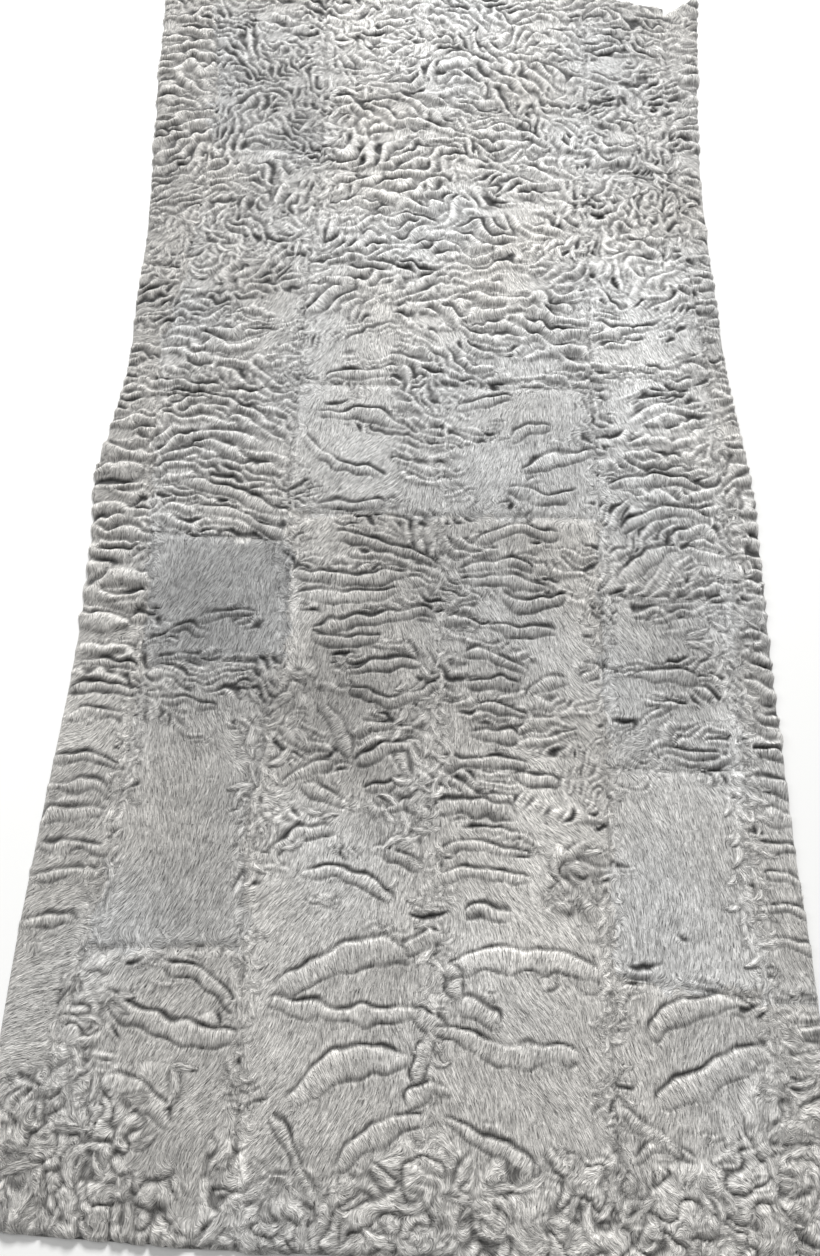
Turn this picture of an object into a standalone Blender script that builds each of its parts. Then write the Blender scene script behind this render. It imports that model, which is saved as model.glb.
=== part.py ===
"""A lambskin fur plate: curly light grey lamb pelts, cut to shape and sewn edge to edge into one sheet.

The plate lies flat with its fur side up. Five columns run along it: a narrow strip, a column of skins, a
wide middle column with the pelts' back line, another column and another strip. Seams across the columns
part each of them into skins, and each skin is one closed solid with a flat leather underside and a fur top
that rises into curls.

Metres, +Z up. +Y runs from the near end to the far end and the origin is in the middle of the underside.
"""

import math
from collections import namedtuple

import bmesh
import bpy
import numpy as np

# The plate's length along its middle, and how thick it is between the curls: leather and lying hair
PLATE_LENGTH = 1.262
LEATHER = 0.001
LYING_HAIR = 0.0032

# The gap that is kept between the solids of two skins at their seam
SEAM_GAP = 0.0003

# How far the fur dips at a seam, and how far from the seam the dip reaches
SEAM_DIP = 0.0010
SEAM_REACH = 0.006

# The cells of a skin's top: short along the plate, where curls follow each other, and longer across it
ROW_STEP = 0.0075
CELL_WIDTH = 0.024

# The low swell of the fur between the curls
SWELL_HEIGHT = 0.0004
SWELL_LENGTH = 0.11
SWELL_WIDTH = 0.085

# The plate's outline and its lengthwise seams at stations along it, as places across it
Section = namedtuple("Section", "along left_edge left_outer left_inner right_inner right_outer right_edge")
SECTIONS = (
    Section(0.000, -0.310, -0.262, -0.119, 0.154, 0.273, 0.308),
    Section(0.095, -0.309, -0.262, -0.126, 0.150, 0.273, 0.308),
    Section(0.190, -0.308, -0.253, -0.131, 0.153, 0.270, 0.308),
    Section(0.265, -0.305, -0.245, -0.136, 0.155, 0.268, 0.305),
    Section(0.345, -0.301, -0.240, -0.130, 0.157, 0.271, 0.304),
    Section(0.410, -0.298, -0.239, -0.118, 0.158, 0.274, 0.303),
    Section(0.480, -0.297, -0.241, -0.117, 0.159, 0.277, 0.304),
    Section(0.550, -0.299, -0.246, -0.120, 0.161, 0.279, 0.305),
    Section(0.600, -0.304, -0.252, -0.124, 0.163, 0.278, 0.305),
    Section(0.660, -0.297, -0.255, -0.122, 0.162, 0.277, 0.301),
    Section(0.720, -0.290, -0.258, -0.120, 0.161, 0.276, 0.295),
    Section(0.810, -0.291, -0.251, -0.121, 0.164, 0.270, 0.292),
    Section(0.900, -0.291, -0.241, -0.118, 0.166, 0.264, 0.290),
    Section(1.000, -0.297, -0.237, -0.116, 0.167, 0.263, 0.291),
    Section(1.100, -0.304, -0.239, -0.118, 0.171, 0.264, 0.297),
    Section(1.180, -0.308, -0.246, -0.121, 0.176, 0.267, 0.304),
    Section(1.262, -0.313, -0.255, -0.124, 0.180, 0.270, 0.311),
)

# The columns from left to right, with the place and slope of the plate's far end there
Column = namedtuple("Column", "name left right far_end far_slope")
COLUMNS = (
    Column("left_strip", "left_edge", "left_outer", 1.260, 0.04),
    Column("left", "left_outer", "left_inner", 1.262, 0.00),
    Column("centre", "left_inner", "right_inner", 1.262, 0.00),
    Column("right", "right_inner", "right_outer", 1.250, -0.24),
    Column("right_strip", "right_outer", "right_edge", 1.243, 0.75),
)

# The skins of each column from the near end on: the place and slope of the seam or edge at their near side,
# and how light the skin is against the plate's mean tone
Skin = namedtuple("Skin", "column near slope lightness")
SKINS = (
    Skin("left_strip", 0.000, -0.06, 0.86),
    Skin("left_strip", 0.097, 0.30, 0.84),
    Skin("left_strip", 0.850, -0.15, 0.90),
    Skin("left", -0.005, -0.05, 0.94),
    Skin("left", 0.190, 0.03, 0.90),
    Skin("left", 0.423, 0.08, 0.78),
    Skin("left", 0.544, -0.05, 1.00),
    Skin("left", 0.700, 0.10, 0.98),
    Skin("left", 1.010, 0.00, 0.86),
    Skin("centre", -0.011, -0.015, 1.00),
    Skin("centre", 0.569, 0.00, 1.02),
    Skin("centre", 0.710, 0.00, 1.08),
    Skin("right", -0.013, 0.00, 1.00),
    Skin("right", 0.168, -0.10, 0.98),
    Skin("right", 0.338, 0.00, 0.96),
    Skin("right", 0.492, -0.05, 1.04),
    Skin("right", 0.985, 0.00, 1.04),
    Skin("right_strip", -0.013, 0.00, 0.94),
    Skin("right_strip", 0.160, 0.00, 0.94),
    Skin("right_strip", 0.860, -0.25, 0.96),
)

# The largest single curls: the curl's middle across and along the plate, its length, how many degrees its
# line turns from straight across, how far its middle bows to the far end, and its width and height
Curl = namedtuple("Curl", "x along length turn bow width height")
LARGE_CURLS = (
    Curl(-0.162, 0.166, 0.070, -30, 0.006, 0.010, 0.0032),
    Curl(-0.183, 0.138, 0.115, -14, -0.010, 0.011, 0.0034),
    Curl(-0.200, 0.084, 0.060, -24, 0.007, 0.010, 0.0028),
    Curl(-0.052, 0.177, 0.112, 11, 0.009, 0.012, 0.0036),
    Curl(-0.051, 0.151, 0.127, -4, -0.005, 0.010, 0.0032),
    Curl(0.081, 0.181, 0.125, 1, 0.015, 0.013, 0.0036),
    Curl(0.050, 0.149, 0.035, -23, 0.003, 0.010, 0.0026),
    Curl(0.072, 0.122, 0.118, -12, -0.008, 0.011, 0.0034),
    Curl(-0.049, 0.105, 0.096, 21, 0.014, 0.015, 0.0038),
    Curl(-0.019, 0.060, 0.078, 28, 0.007, 0.010, 0.0030),
    Curl(0.060, 0.060, 0.082, -25, 0.003, 0.010, 0.0030),
    Curl(-0.084, 0.048, 0.072, -59, 0.000, 0.008, 0.0022),
    Curl(0.176, 0.070, 0.062, -39, 0.001, 0.009, 0.0026),
    Curl(0.209, 0.149, 0.066, 20, 0.008, 0.011, 0.0032),
    Curl(0.219, 0.108, 0.088, 25, 0.004, 0.012, 0.0036),
    Curl(0.187, 0.056, 0.045, 1, 0.006, 0.009, 0.0024),
    Curl(0.044, 0.302, 0.073, 1, 0.004, 0.010, 0.0028),
    Curl(0.053, 0.271, 0.075, 1, 0.008, 0.009, 0.0028),
    Curl(0.046, 0.245, 0.094, 5, 0.010, 0.010, 0.0032),
    Curl(-0.056, 0.240, 0.077, -19, 0.010, 0.010, 0.0030),
    Curl(0.056, 0.221, 0.042, 5, 0.003, 0.009, 0.0024),
    Curl(-0.062, 0.506, 0.104, -1, -0.007, 0.011, 0.0032),
    Curl(-0.064, 0.488, 0.092, 2, -0.003, 0.010, 0.0030),
    Curl(-0.040, 0.465, 0.113, 8, 0.005, 0.010, 0.0030),
    Curl(-0.031, 0.419, 0.074, 6, 0.008, 0.010, 0.0030),
    Curl(-0.020, 0.398, 0.079, 2, -0.011, 0.009, 0.0030),
    Curl(0.066, 0.514, 0.074, 0, 0.005, 0.010, 0.0028),
    Curl(0.104, 0.484, 0.061, -1, -0.009, 0.013, 0.0034),
    Curl(0.067, 0.427, 0.065, -14, 0.008, 0.010, 0.0028),
    Curl(0.064, 0.361, 0.040, -4, 0.000, 0.010, 0.0028),
    Curl(-0.024, 0.349, 0.064, 13, 0.003, 0.010, 0.0030),
    Curl(0.056, 0.337, 0.075, 6, 0.000, 0.010, 0.0028),
    Curl(0.210, 0.419, 0.054, -7, 0.002, 0.011, 0.0028),
    Curl(-0.060, 0.670, 0.087, -7, 0.009, 0.010, 0.0030),
    Curl(-0.077, 0.628, 0.088, -25, -0.008, 0.011, 0.0032),
    Curl(0.100, 0.658, 0.047, 10, 0.005, 0.012, 0.0028),
    Curl(0.121, 0.624, 0.066, 15, 0.004, 0.013, 0.0032),
    Curl(0.111, 0.590, 0.069, -1, -0.008, 0.012, 0.0032),
    Curl(-0.064, 0.577, 0.069, 1, -0.003, 0.010, 0.0026),
    Curl(-0.033, 0.533, 0.104, -17, 0.002, 0.010, 0.0030),
    Curl(0.085, 0.546, 0.082, 5, 0.004, 0.012, 0.0030),
    Curl(-0.175, 0.588, 0.098, -21, 0.004, 0.011, 0.0030),
    Curl(-0.165, 0.560, 0.083, -20, 0.002, 0.010, 0.0028),
    Curl(-0.198, 0.386, 0.055, 0, 0.003, 0.008, 0.0022),
    Curl(0.205, 0.522, 0.073, 1, 0.008, 0.012, 0.0030),
    Curl(0.215, 0.605, 0.086, 3, 0.009, 0.011, 0.0030),
    Curl(0.218, 0.576, 0.084, 1, 0.008, 0.010, 0.0028),
    Curl(0.224, 0.350, 0.050, 0, 0.003, 0.009, 0.0024),
)

# Fields where curl follows curl at a steady distance: their box on the plate, the distance from one curl to
# the next, the curls' length, width and height, and how far each may stray from its place. The curls also
# turn a little, up to so many degrees either way
Field = namedtuple("Field", "left right near far pitch length width height stray")
CURL_FIELDS = (
    Field(-0.300, -0.250, 0.000, 0.085, 0.021, 0.040, 0.012, 0.0024, 0.004),
    Field(-0.300, -0.248, 0.195, 0.345, 0.024, 0.050, 0.011, 0.0026, 0.002),
    Field(-0.296, -0.248, 0.360, 0.850, 0.019, 0.050, 0.011, 0.0026, 0.002),
    Field(-0.298, -0.245, 0.870, 1.255, 0.020, 0.050, 0.011, 0.0022, 0.003),
    Field(0.275, 0.300, 0.000, 0.150, 0.023, 0.026, 0.012, 0.0024, 0.003),
    Field(0.278, 0.300, 0.175, 0.700, 0.022, 0.026, 0.011, 0.0026, 0.002),
    Field(0.274, 0.288, 0.715, 1.200, 0.025, 0.020, 0.011, 0.0022, 0.003),
    Field(-0.230, -0.130, 0.735, 1.000, 0.026, 0.050, 0.011, 0.0024, 0.007),
    Field(-0.230, -0.130, 1.030, 1.245, 0.026, 0.050, 0.011, 0.0022, 0.008),
    Field(-0.110, 0.155, 0.730, 1.245, 0.027, 0.070, 0.012, 0.0026, 0.008),
    Field(0.175, 0.255, 0.645, 1.225, 0.026, 0.060, 0.011, 0.0024, 0.007),
    Field(-0.230, 0.255, 0.006, 0.035, 0.024, 0.044, 0.012, 0.0024, 0.007),
)
STRAY_TURN = 9
STRAY_SEED = 11

# The tone of the fur, warmer at the near end than at the far end, and its dull sheen
NEAR_TONE = (0.40, 0.385, 0.365)
FAR_TONE = (0.46, 0.46, 0.45)
ROUGHNESS = 0.75

# A curl whose middle is farther than this from a skin doesn't reach it
CURL_REACH = 0.075

# Edges bent more than this are shaded sharp
SHARP_EDGE = math.radians(60)


def clear_scene():
    """Leaves an empty scene."""
    for thing in list(bpy.data.objects):
        bpy.data.objects.remove(thing, do_unlink=True)


def across(line, along):
    """The place across the plate of an edge or lengthwise seam, smooth from one section to the next."""
    stations = [section.along for section in SECTIONS]
    places = [getattr(section, line) for section in SECTIONS]
    slopes = np.gradient(places, stations)
    held = min(max(along, stations[0]), stations[-1])
    nearer = min(int(np.searchsorted(stations, held, side="right")) - 1, len(stations) - 2)
    span = stations[nearer + 1] - stations[nearer]
    t = (held - stations[nearer]) / span
    return (
        (2 * t**3 - 3 * t**2 + 1) * places[nearer]
        + (t**3 - 2 * t**2 + t) * span * slopes[nearer]
        + (3 * t**2 - 2 * t**3) * places[nearer + 1]
        + (t**3 - t**2) * span * slopes[nearer + 1]
    )


def field_curls():
    """The curls of the fields, each a little off its place so that no two rows look alike."""
    random = np.random.default_rng(STRAY_SEED)
    curls = []
    for field in CURL_FIELDS:
        in_row = max(1, round((field.right - field.left) / (field.length * 1.25)))
        rows = int((field.far - field.near) / field.pitch)
        for row in range(rows + 1):
            for place in range(in_row):
                shift = 0.5 * (row % 2) if in_row > 1 else 0.0
                part = (place + 0.5 + 0.5 * (shift - 0.25)) / in_row
                x = field.left + part * (field.right - field.left) + random.uniform(-1, 1) * field.stray
                along = field.near + row * field.pitch + random.uniform(-1, 1) * field.stray * 0.5
                length = field.length * random.uniform(0.8, 1.15)
                turn = random.uniform(-1, 1) * STRAY_TURN
                bow = random.uniform(-0.06, 0.10) * length
                curls.append(Curl(x, along, length, turn, bow, field.width, field.height))
    return curls


def curl_rise(curl, x, along):
    """How far one curl lifts the fur at a point: a rounded ridge that tapers to its two ends."""
    turn = math.radians(curl.turn)
    over = (x - curl.x) * math.cos(turn) + (along - curl.along) * math.sin(turn)
    past = (along - curl.along) * math.cos(turn) - (x - curl.x) * math.sin(turn)
    part = over / (0.5 * curl.length)
    if abs(part) >= 1:
        return 0.0
    off_line = (past - curl.bow * (0.5 - part * part)) / (0.5 * (curl.width + ROW_STEP))
    if abs(off_line) >= 1:
        return 0.0
    return curl.height * math.cos(0.5 * math.pi * off_line) * (1 - part**4)


def fur_height(x, along, to_seam, curls):
    """The height of the fur's top above the floor."""
    swell = math.sin(2 * math.pi * along / SWELL_LENGTH + 3 * x / SWELL_WIDTH)
    swell *= math.cos(2 * math.pi * x / SWELL_WIDTH + along / SWELL_LENGTH)
    rise = max((curl_rise(curl, x, along) for curl in curls), default=0.0)
    dip = SEAM_DIP * math.exp(-((to_seam / SEAM_REACH) ** 2))
    return LEATHER + LYING_HAIR + SWELL_HEIGHT * swell + rise - dip


def boundary_point(column, share, middle_along, slope):
    """A point of a seam across a column, at a share of the column's width."""
    middle_x = 0.5 * (across(column.left, middle_along) + across(column.right, middle_along))
    along = middle_along
    for _ in range(6):
        left = across(column.left, along) + SEAM_GAP / 2
        right = across(column.right, along) - SEAM_GAP / 2
        x = left + share * (right - left)
        along = middle_along + slope * (x - middle_x)
    return x, along


def skin_grid(column, near, near_slope, far, far_slope):
    """The points of one skin in plan, row by row from its near seam to its far seam."""
    rows = max(3, round((far - near) / ROW_STEP))
    width = across(column.right, near) - across(column.left, near)
    cells = max(2, round(width / CELL_WIDTH))
    grid = []
    for row in range(rows + 1):
        part = row / rows
        middle = (near + SEAM_GAP / 2) * (1 - part) + (far - SEAM_GAP / 2) * part
        slope = near_slope * (1 - part) + far_slope * part
        shares = [cell / cells for cell in range(cells + 1)]
        grid.append([boundary_point(column, share, middle, slope) for share in shares])
    return grid


def column_grids(column):
    """The skins of one column, each with its name, its grid in plan and its lightness."""
    skins = [skin for skin in SKINS if skin.column == column.name]
    ends = [(skin.near, skin.slope) for skin in skins[1:]] + [(column.far_end, column.far_slope)]
    grids = []
    for number, (skin, (far, far_slope)) in enumerate(zip(skins, ends), start=1):
        name = f"skin_{column.name}_{number}"
        grid = skin_grid(column, skin.near, skin.slope, far, far_slope)
        grids.append((name, grid, skin.lightness))
    return grids


def fur_material(name, along, lightness):
    """The fur's colour on one skin, from the tones of the plate's two ends and how light the skin is."""
    part = along / PLATE_LENGTH
    tone = [lightness * (near * (1 - part) + far * part) for near, far in zip(NEAR_TONE, FAR_TONE)]
    material = bpy.data.materials.new(name)
    material.use_nodes = True
    shader = material.node_tree.nodes["Principled BSDF"]
    shader.inputs["Base Color"].default_value = (*tone, 1.0)
    shader.inputs["Roughness"].default_value = ROUGHNESS
    shader.inputs["Metallic"].default_value = 0.0
    return material


def build_skin(name, grid, curls, lightness, middle):
    """One skin as a closed solid: its fur top, flat underside, side walls and end walls."""
    nearest = min(along for _, along in grid[0]) - CURL_REACH
    farthest = max(along for _, along in grid[-1]) + CURL_REACH
    near_by = [curl for curl in curls if nearest < curl.along < farthest]
    last = len(grid[0]) - 1
    mesh = bmesh.new()
    top = []
    for points in grid:
        line = []
        for cell, (x, along) in enumerate(points):
            sides = (x - points[0][0], points[last][0] - x)
            ends = (along - grid[0][cell][1], grid[-1][cell][1] - along)
            height = fur_height(x, along, min(*sides, *ends), near_by)
            line.append(mesh.verts.new((x - middle[0], along - middle[1], height)))
        top.append(line)
    left = [mesh.verts.new((line[0].co.x, line[0].co.y, 0.0)) for line in top]
    right = [mesh.verts.new((line[last].co.x, line[last].co.y, 0.0)) for line in top]
    for row in range(len(grid) - 1):
        for cell in range(last):
            near_side = (top[row][cell], top[row][cell + 1])
            far_side = (top[row + 1][cell + 1], top[row + 1][cell])
            mesh.faces.new(near_side + far_side)
        mesh.faces.new((left[row], top[row][0], top[row + 1][0], left[row + 1]))
        mesh.faces.new((top[row][last], right[row], right[row + 1], top[row + 1][last]))
        mesh.faces.new((left[row], left[row + 1], right[row + 1], right[row]))
    mesh.faces.new([left[0], right[0]] + top[0][::-1])
    mesh.faces.new([right[-1], left[-1]] + top[-1])
    data = bpy.data.meshes.new(name)
    mesh.to_mesh(data)
    mesh.free()
    data.shade_smooth()
    data.set_sharp_from_angle(angle=SHARP_EDGE)
    data.materials.append(fur_material(name, grid[len(grid) // 2][0][1], lightness))
    skin = bpy.data.objects.new(name, data)
    bpy.context.scene.collection.objects.link(skin)


def build_plate():
    """All skins, placed so that the origin is under the middle of the plate's outline."""
    clear_scene()
    grids = [entry for column in COLUMNS for entry in column_grids(column)]
    points = np.array([point for _, grid, _ in grids for row in grid for point in row])
    middle = 0.5 * (points.min(axis=0) + points.max(axis=0))
    curls = list(LARGE_CURLS) + field_curls()
    for name, grid, lightness in grids:
        build_skin(name, grid, curls, lightness, middle)


build_plate()
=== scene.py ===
"""Looks of the lambskin fur plate: curly light grey lamb fur, skin by skin, on a plain pale floor.

Plate coordinates are x across the plate and along from its near end. The fur is worked out on a raster of
these coordinates, and each skin's mesh then takes its heights and tones from it. Values are in metres, and
angles in degrees, where nothing else is said.
"""

import math
from collections import namedtuple

import bpy
import numpy as np
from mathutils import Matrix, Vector


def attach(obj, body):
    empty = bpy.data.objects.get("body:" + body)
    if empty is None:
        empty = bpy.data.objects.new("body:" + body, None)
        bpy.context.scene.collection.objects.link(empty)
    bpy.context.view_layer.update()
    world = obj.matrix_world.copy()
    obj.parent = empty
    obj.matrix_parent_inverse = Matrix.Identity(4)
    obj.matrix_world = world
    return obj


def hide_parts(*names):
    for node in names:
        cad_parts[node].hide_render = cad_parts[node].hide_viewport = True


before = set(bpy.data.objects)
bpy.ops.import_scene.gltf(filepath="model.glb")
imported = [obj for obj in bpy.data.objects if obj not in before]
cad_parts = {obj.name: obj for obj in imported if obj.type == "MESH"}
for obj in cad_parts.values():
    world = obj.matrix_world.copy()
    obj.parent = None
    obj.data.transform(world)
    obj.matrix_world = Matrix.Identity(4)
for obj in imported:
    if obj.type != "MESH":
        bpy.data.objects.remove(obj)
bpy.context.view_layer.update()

SEED = 7

# The plate's length, leather and lying hair between the curls, and the gap at a seam in these meshes
PLATE_LENGTH = 1.262
LEATHER = 0.001
LYING_HAIR = 0.0032
SEAM_GAP = 0.0001

# The raster's step and margins around the plate, and how many cells short of its far sides a place is held
RASTER_STEP = 0.001
RASTER_LEFT, RASTER_RIGHT = -0.335, 0.335
RASTER_NEAR, RASTER_FAR = -0.035, 1.285
RASTER_HOLD = 1.001


def table(kind, plain, rows):
    """The rows of a table as records, with millimetres made metres in all but the plain columns."""
    records = []
    for row in rows:
        values = [value if name in plain else value / 1000 for name, value in zip(kind._fields, row)]
        records.append(kind(*values))
    return tuple(records)


# The plate's outline and its lengthwise seams at stations along it, as places across it. This table and
# all others that go through the function above are in millimetres
Section = namedtuple("Section", "along left_edge left_outer left_inner right_inner right_outer right_edge")
SECTIONS = table(Section, (), (
    (0, -310, -262, -119, 154, 273, 308),
    (95, -309, -262, -126, 150, 273, 308),
    (190, -308, -253, -131, 153, 270, 308),
    (265, -305, -245, -136, 155, 268, 305),
    (345, -301, -240, -130, 157, 271, 304),
    (410, -298, -239, -118, 158, 274, 303),
    (480, -297, -241, -117, 159, 277, 304),
    (550, -299, -246, -120, 161, 279, 305),
    (600, -304, -252, -124, 163, 278, 305),
    (660, -297, -255, -122, 162, 277, 301),
    (720, -290, -258, -120, 161, 276, 295),
    (810, -291, -251, -121, 164, 270, 292),
    (900, -291, -241, -118, 166, 264, 290),
    (1000, -297, -237, -116, 167, 263, 291),
    (1100, -304, -239, -118, 171, 264, 297),
    (1180, -308, -246, -121, 176, 267, 304),
    (1262, -313, -255, -124, 180, 270, 311),
))
SEAM_LINES = Section._fields[2:6]

# The columns from left to right, with the place and slope of the plate's far end there
Column = namedtuple("Column", "name left right far_end far_slope")
COLUMNS = (
    Column("left_strip", "left_edge", "left_outer", 1.260, 0.04),
    Column("left", "left_outer", "left_inner", 1.262, 0.00),
    Column("centre", "left_inner", "right_inner", 1.262, 0.00),
    Column("right", "right_inner", "right_outer", 1.250, -0.24),
    Column("right_strip", "right_outer", "right_edge", 1.243, 0.75),
)

# The skins of each column from the near end on: the place and slope of the seam or edge at their near side,
# how light the skin is against the plate's mean tone, and how warm
Skin = namedtuple("Skin", "column near slope lightness warmth")
SKINS = (
    Skin("left_strip", 0.000, -0.06, 0.86, 1.0),
    Skin("left_strip", 0.097, 0.30, 0.86, 1.2),
    Skin("left_strip", 0.850, -0.15, 0.96, 1.3),
    Skin("left", -0.005, -0.05, 0.90, 1.0),
    Skin("left", 0.190, 0.03, 0.86, 0.6),
    Skin("left", 0.423, 0.08, 0.66, 0.2),
    Skin("left", 0.544, -0.05, 0.92, 0.6),
    Skin("left", 0.700, 0.10, 0.96, 0.5),
    Skin("left", 1.010, 0.00, 0.86, 0.5),
    Skin("centre", -0.011, -0.015, 1.00, 1.0),
    Skin("centre", 0.569, 0.00, 0.98, 0.5),
    Skin("centre", 0.710, 0.00, 1.06, 0.5),
    Skin("right", -0.013, 0.00, 1.00, 1.0),
    Skin("right", 0.168, -0.10, 0.97, 0.4),
    Skin("right", 0.338, 0.00, 0.95, 0.3),
    Skin("right", 0.492, -0.05, 1.03, 0.4),
    Skin("right", 0.985, 0.00, 1.03, 0.5),
    Skin("right_strip", -0.013, 0.00, 0.96, 1.0),
    Skin("right_strip", 0.160, 0.00, 0.94, 0.6),
    Skin("right_strip", 0.860, -0.25, 0.98, 0.5),
)

# The skins that take the grey fur material
GREY_SKINS = ("skin_left_strip_1", "skin_left_strip_2", "skin_left_3", "skin_left_6")

# The largest single curls: the curl's middle, its length, how far its line turns from straight across, how
# far its middle bows to the far end, and its width and height
Curl = namedtuple("Curl", "x along length turn bow width height")
LARGE_CURLS = table(Curl, ("turn",), (
    (-162, 166, 70, -30, 6, 12, 3.2),
    (-183, 138, 115, -14, -10, 14, 3.4),
    (-200, 84, 60, -24, 7, 13, 2.8),
    (-52, 179, 112, 11, 9, 16, 3.6),
    (-51, 150, 127, -4, -5, 12, 3.2),
    (81, 181, 125, 1, 15, 18, 3.6),
    (50, 149, 40, -23, 3, 14, 2.6),
    (72, 122, 118, -12, -4, 14, 3.4),
    (-49, 105, 96, 21, 14, 19, 3.8),
    (-19, 60, 78, 28, 7, 13, 3),
    (60, 60, 82, -25, 3, 10, 3),
    (-84, 48, 72, -59, 0, 8, 2.2),
    (176, 70, 62, -39, 1, 9, 2.6),
    (209, 149, 66, 20, 8, 14, 3.2),
    (219, 108, 88, 25, 4, 16, 3.6),
    (187, 56, 45, 1, 6, 9, 2.4),
    (44, 302, 73, 1, 4, 10, 2.8),
    (53, 271, 75, 1, 8, 9, 2.8),
    (46, 245, 94, 5, 10, 10, 3.2),
    (-56, 240, 77, -19, 10, 10, 3),
    (56, 221, 42, 5, 3, 9, 2.4),
    (-62, 506, 104, -1, -7, 11, 3.2),
    (-64, 488, 92, 2, -3, 10, 3),
    (-40, 465, 113, 8, 5, 10, 3),
    (-31, 419, 74, 6, 8, 10, 3),
    (-20, 398, 79, 2, -11, 9, 3),
    (66, 514, 74, 0, 5, 10, 2.8),
    (104, 484, 61, -1, -9, 13, 3.4),
    (67, 427, 65, -14, 8, 10, 2.8),
    (64, 361, 40, -4, 0, 10, 2.8),
    (-24, 349, 64, 13, 3, 10, 3),
    (56, 337, 75, 6, 0, 10, 2.8),
    (210, 419, 54, -7, 2, 11, 2.8),
    (-60, 670, 87, -7, 9, 10, 3),
    (-77, 628, 88, -25, -8, 11, 3.2),
    (100, 658, 47, 10, 5, 12, 2.8),
    (121, 624, 66, 15, 4, 13, 3.2),
    (111, 590, 69, -1, -8, 12, 3.2),
    (-64, 577, 69, 1, -3, 10, 2.6),
    (-33, 533, 104, -17, 2, 10, 3),
    (85, 546, 82, 5, 4, 12, 3),
    (-175, 588, 98, -21, 4, 11, 3),
    (-165, 560, 83, -20, 2, 10, 2.8),
    (-198, 386, 55, 0, 3, 8, 2.2),
    (205, 525, 66, 26, 6, 12, 3),
    (215, 605, 86, 3, 9, 11, 3),
    (222, 570, 78, 12, 10, 10, 2.8),
    (224, 350, 50, 0, 3, 9, 2.4),
    (72, 499, 82, -2, 2, 10, 3),
    (92, 458, 66, -5, 3, 10, 3),
    (62, 406, 56, 2, 3, 9, 2.8),
    (70, 382, 48, -12, 2, 9, 2.6),
    (-66, 448, 60, -6, -3, 10, 2.8),
    (-93, 275, 50, 25, 4, 10, 2.6),
    (110, 405, 40, 30, 3, 9, 2.4),
    (95, 325, 45, -8, 3, 9, 2.6),
    (-66, 720, 60, 6, 4, 10, 2.6),
    (60, 690, 60, 12, 4, 10, 2.6),
    (-268, 421, 60, 4, 4, 9, 2.6),
    (-270, 394, 58, -3, 3, 9, 2.6),
    (-274, 372, 56, 0, 2, 8, 2.4),
    (-274, 335, 60, -2, 4, 9, 2.8),
    (-276, 311, 60, 2, 5, 9, 2.8),
    (-278, 290, 58, 14, 3, 9, 2.6),
    (-280, 262, 60, -4, 3, 10, 2.8),
    (-280, 240, 58, 4, 4, 9, 2.8),
    (-282, 204, 56, 4, 3, 9, 2.6),
    (290, 350, 36, -8, 4, 9, 2.6),
    (291, 325, 36, -4, 4, 9, 2.6),
    (292, 303, 34, -10, 4, 8, 2.4),
    (292, 279, 36, -6, 3, 9, 2.6),
    (291, 252, 38, 2, 4, 9, 2.6),
    (291, 226, 38, -4, 3, 9, 2.6),
    (291, 199, 36, -8, 4, 8, 2.4),
    (-168, 466, 50, 8, 2, 8, 2),
    (-200, 452, 40, -12, 3, 8, 2.2),
    (-70, 367, 52, -56, 3, 12, 2.8),
    (-12, 337, 30, -78, 2, 10, 2.6),
    (-30, 320, 34, 13, -4, 10, 2.6),
    (-92, 328, 45, 24, 2, 9, 2.6),
    (-80, 312, 32, -28, 2, 9, 2.6),
    (-18, 259, 46, -14, 2, 10, 2.8),
    (-12, 298, 38, -6, 6, 10, 2.6),
    (14, 142, 34, -38, 2, 11, 3),
    (10, 115, 30, 75, 3, 12, 3),
    (10, 196, 32, 24, 2, 11, 3),
    (12, 90, 34, 20, 6, 11, 2.8),
    (28, 170, 26, -65, 3, 10, 2.6),
))

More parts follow.
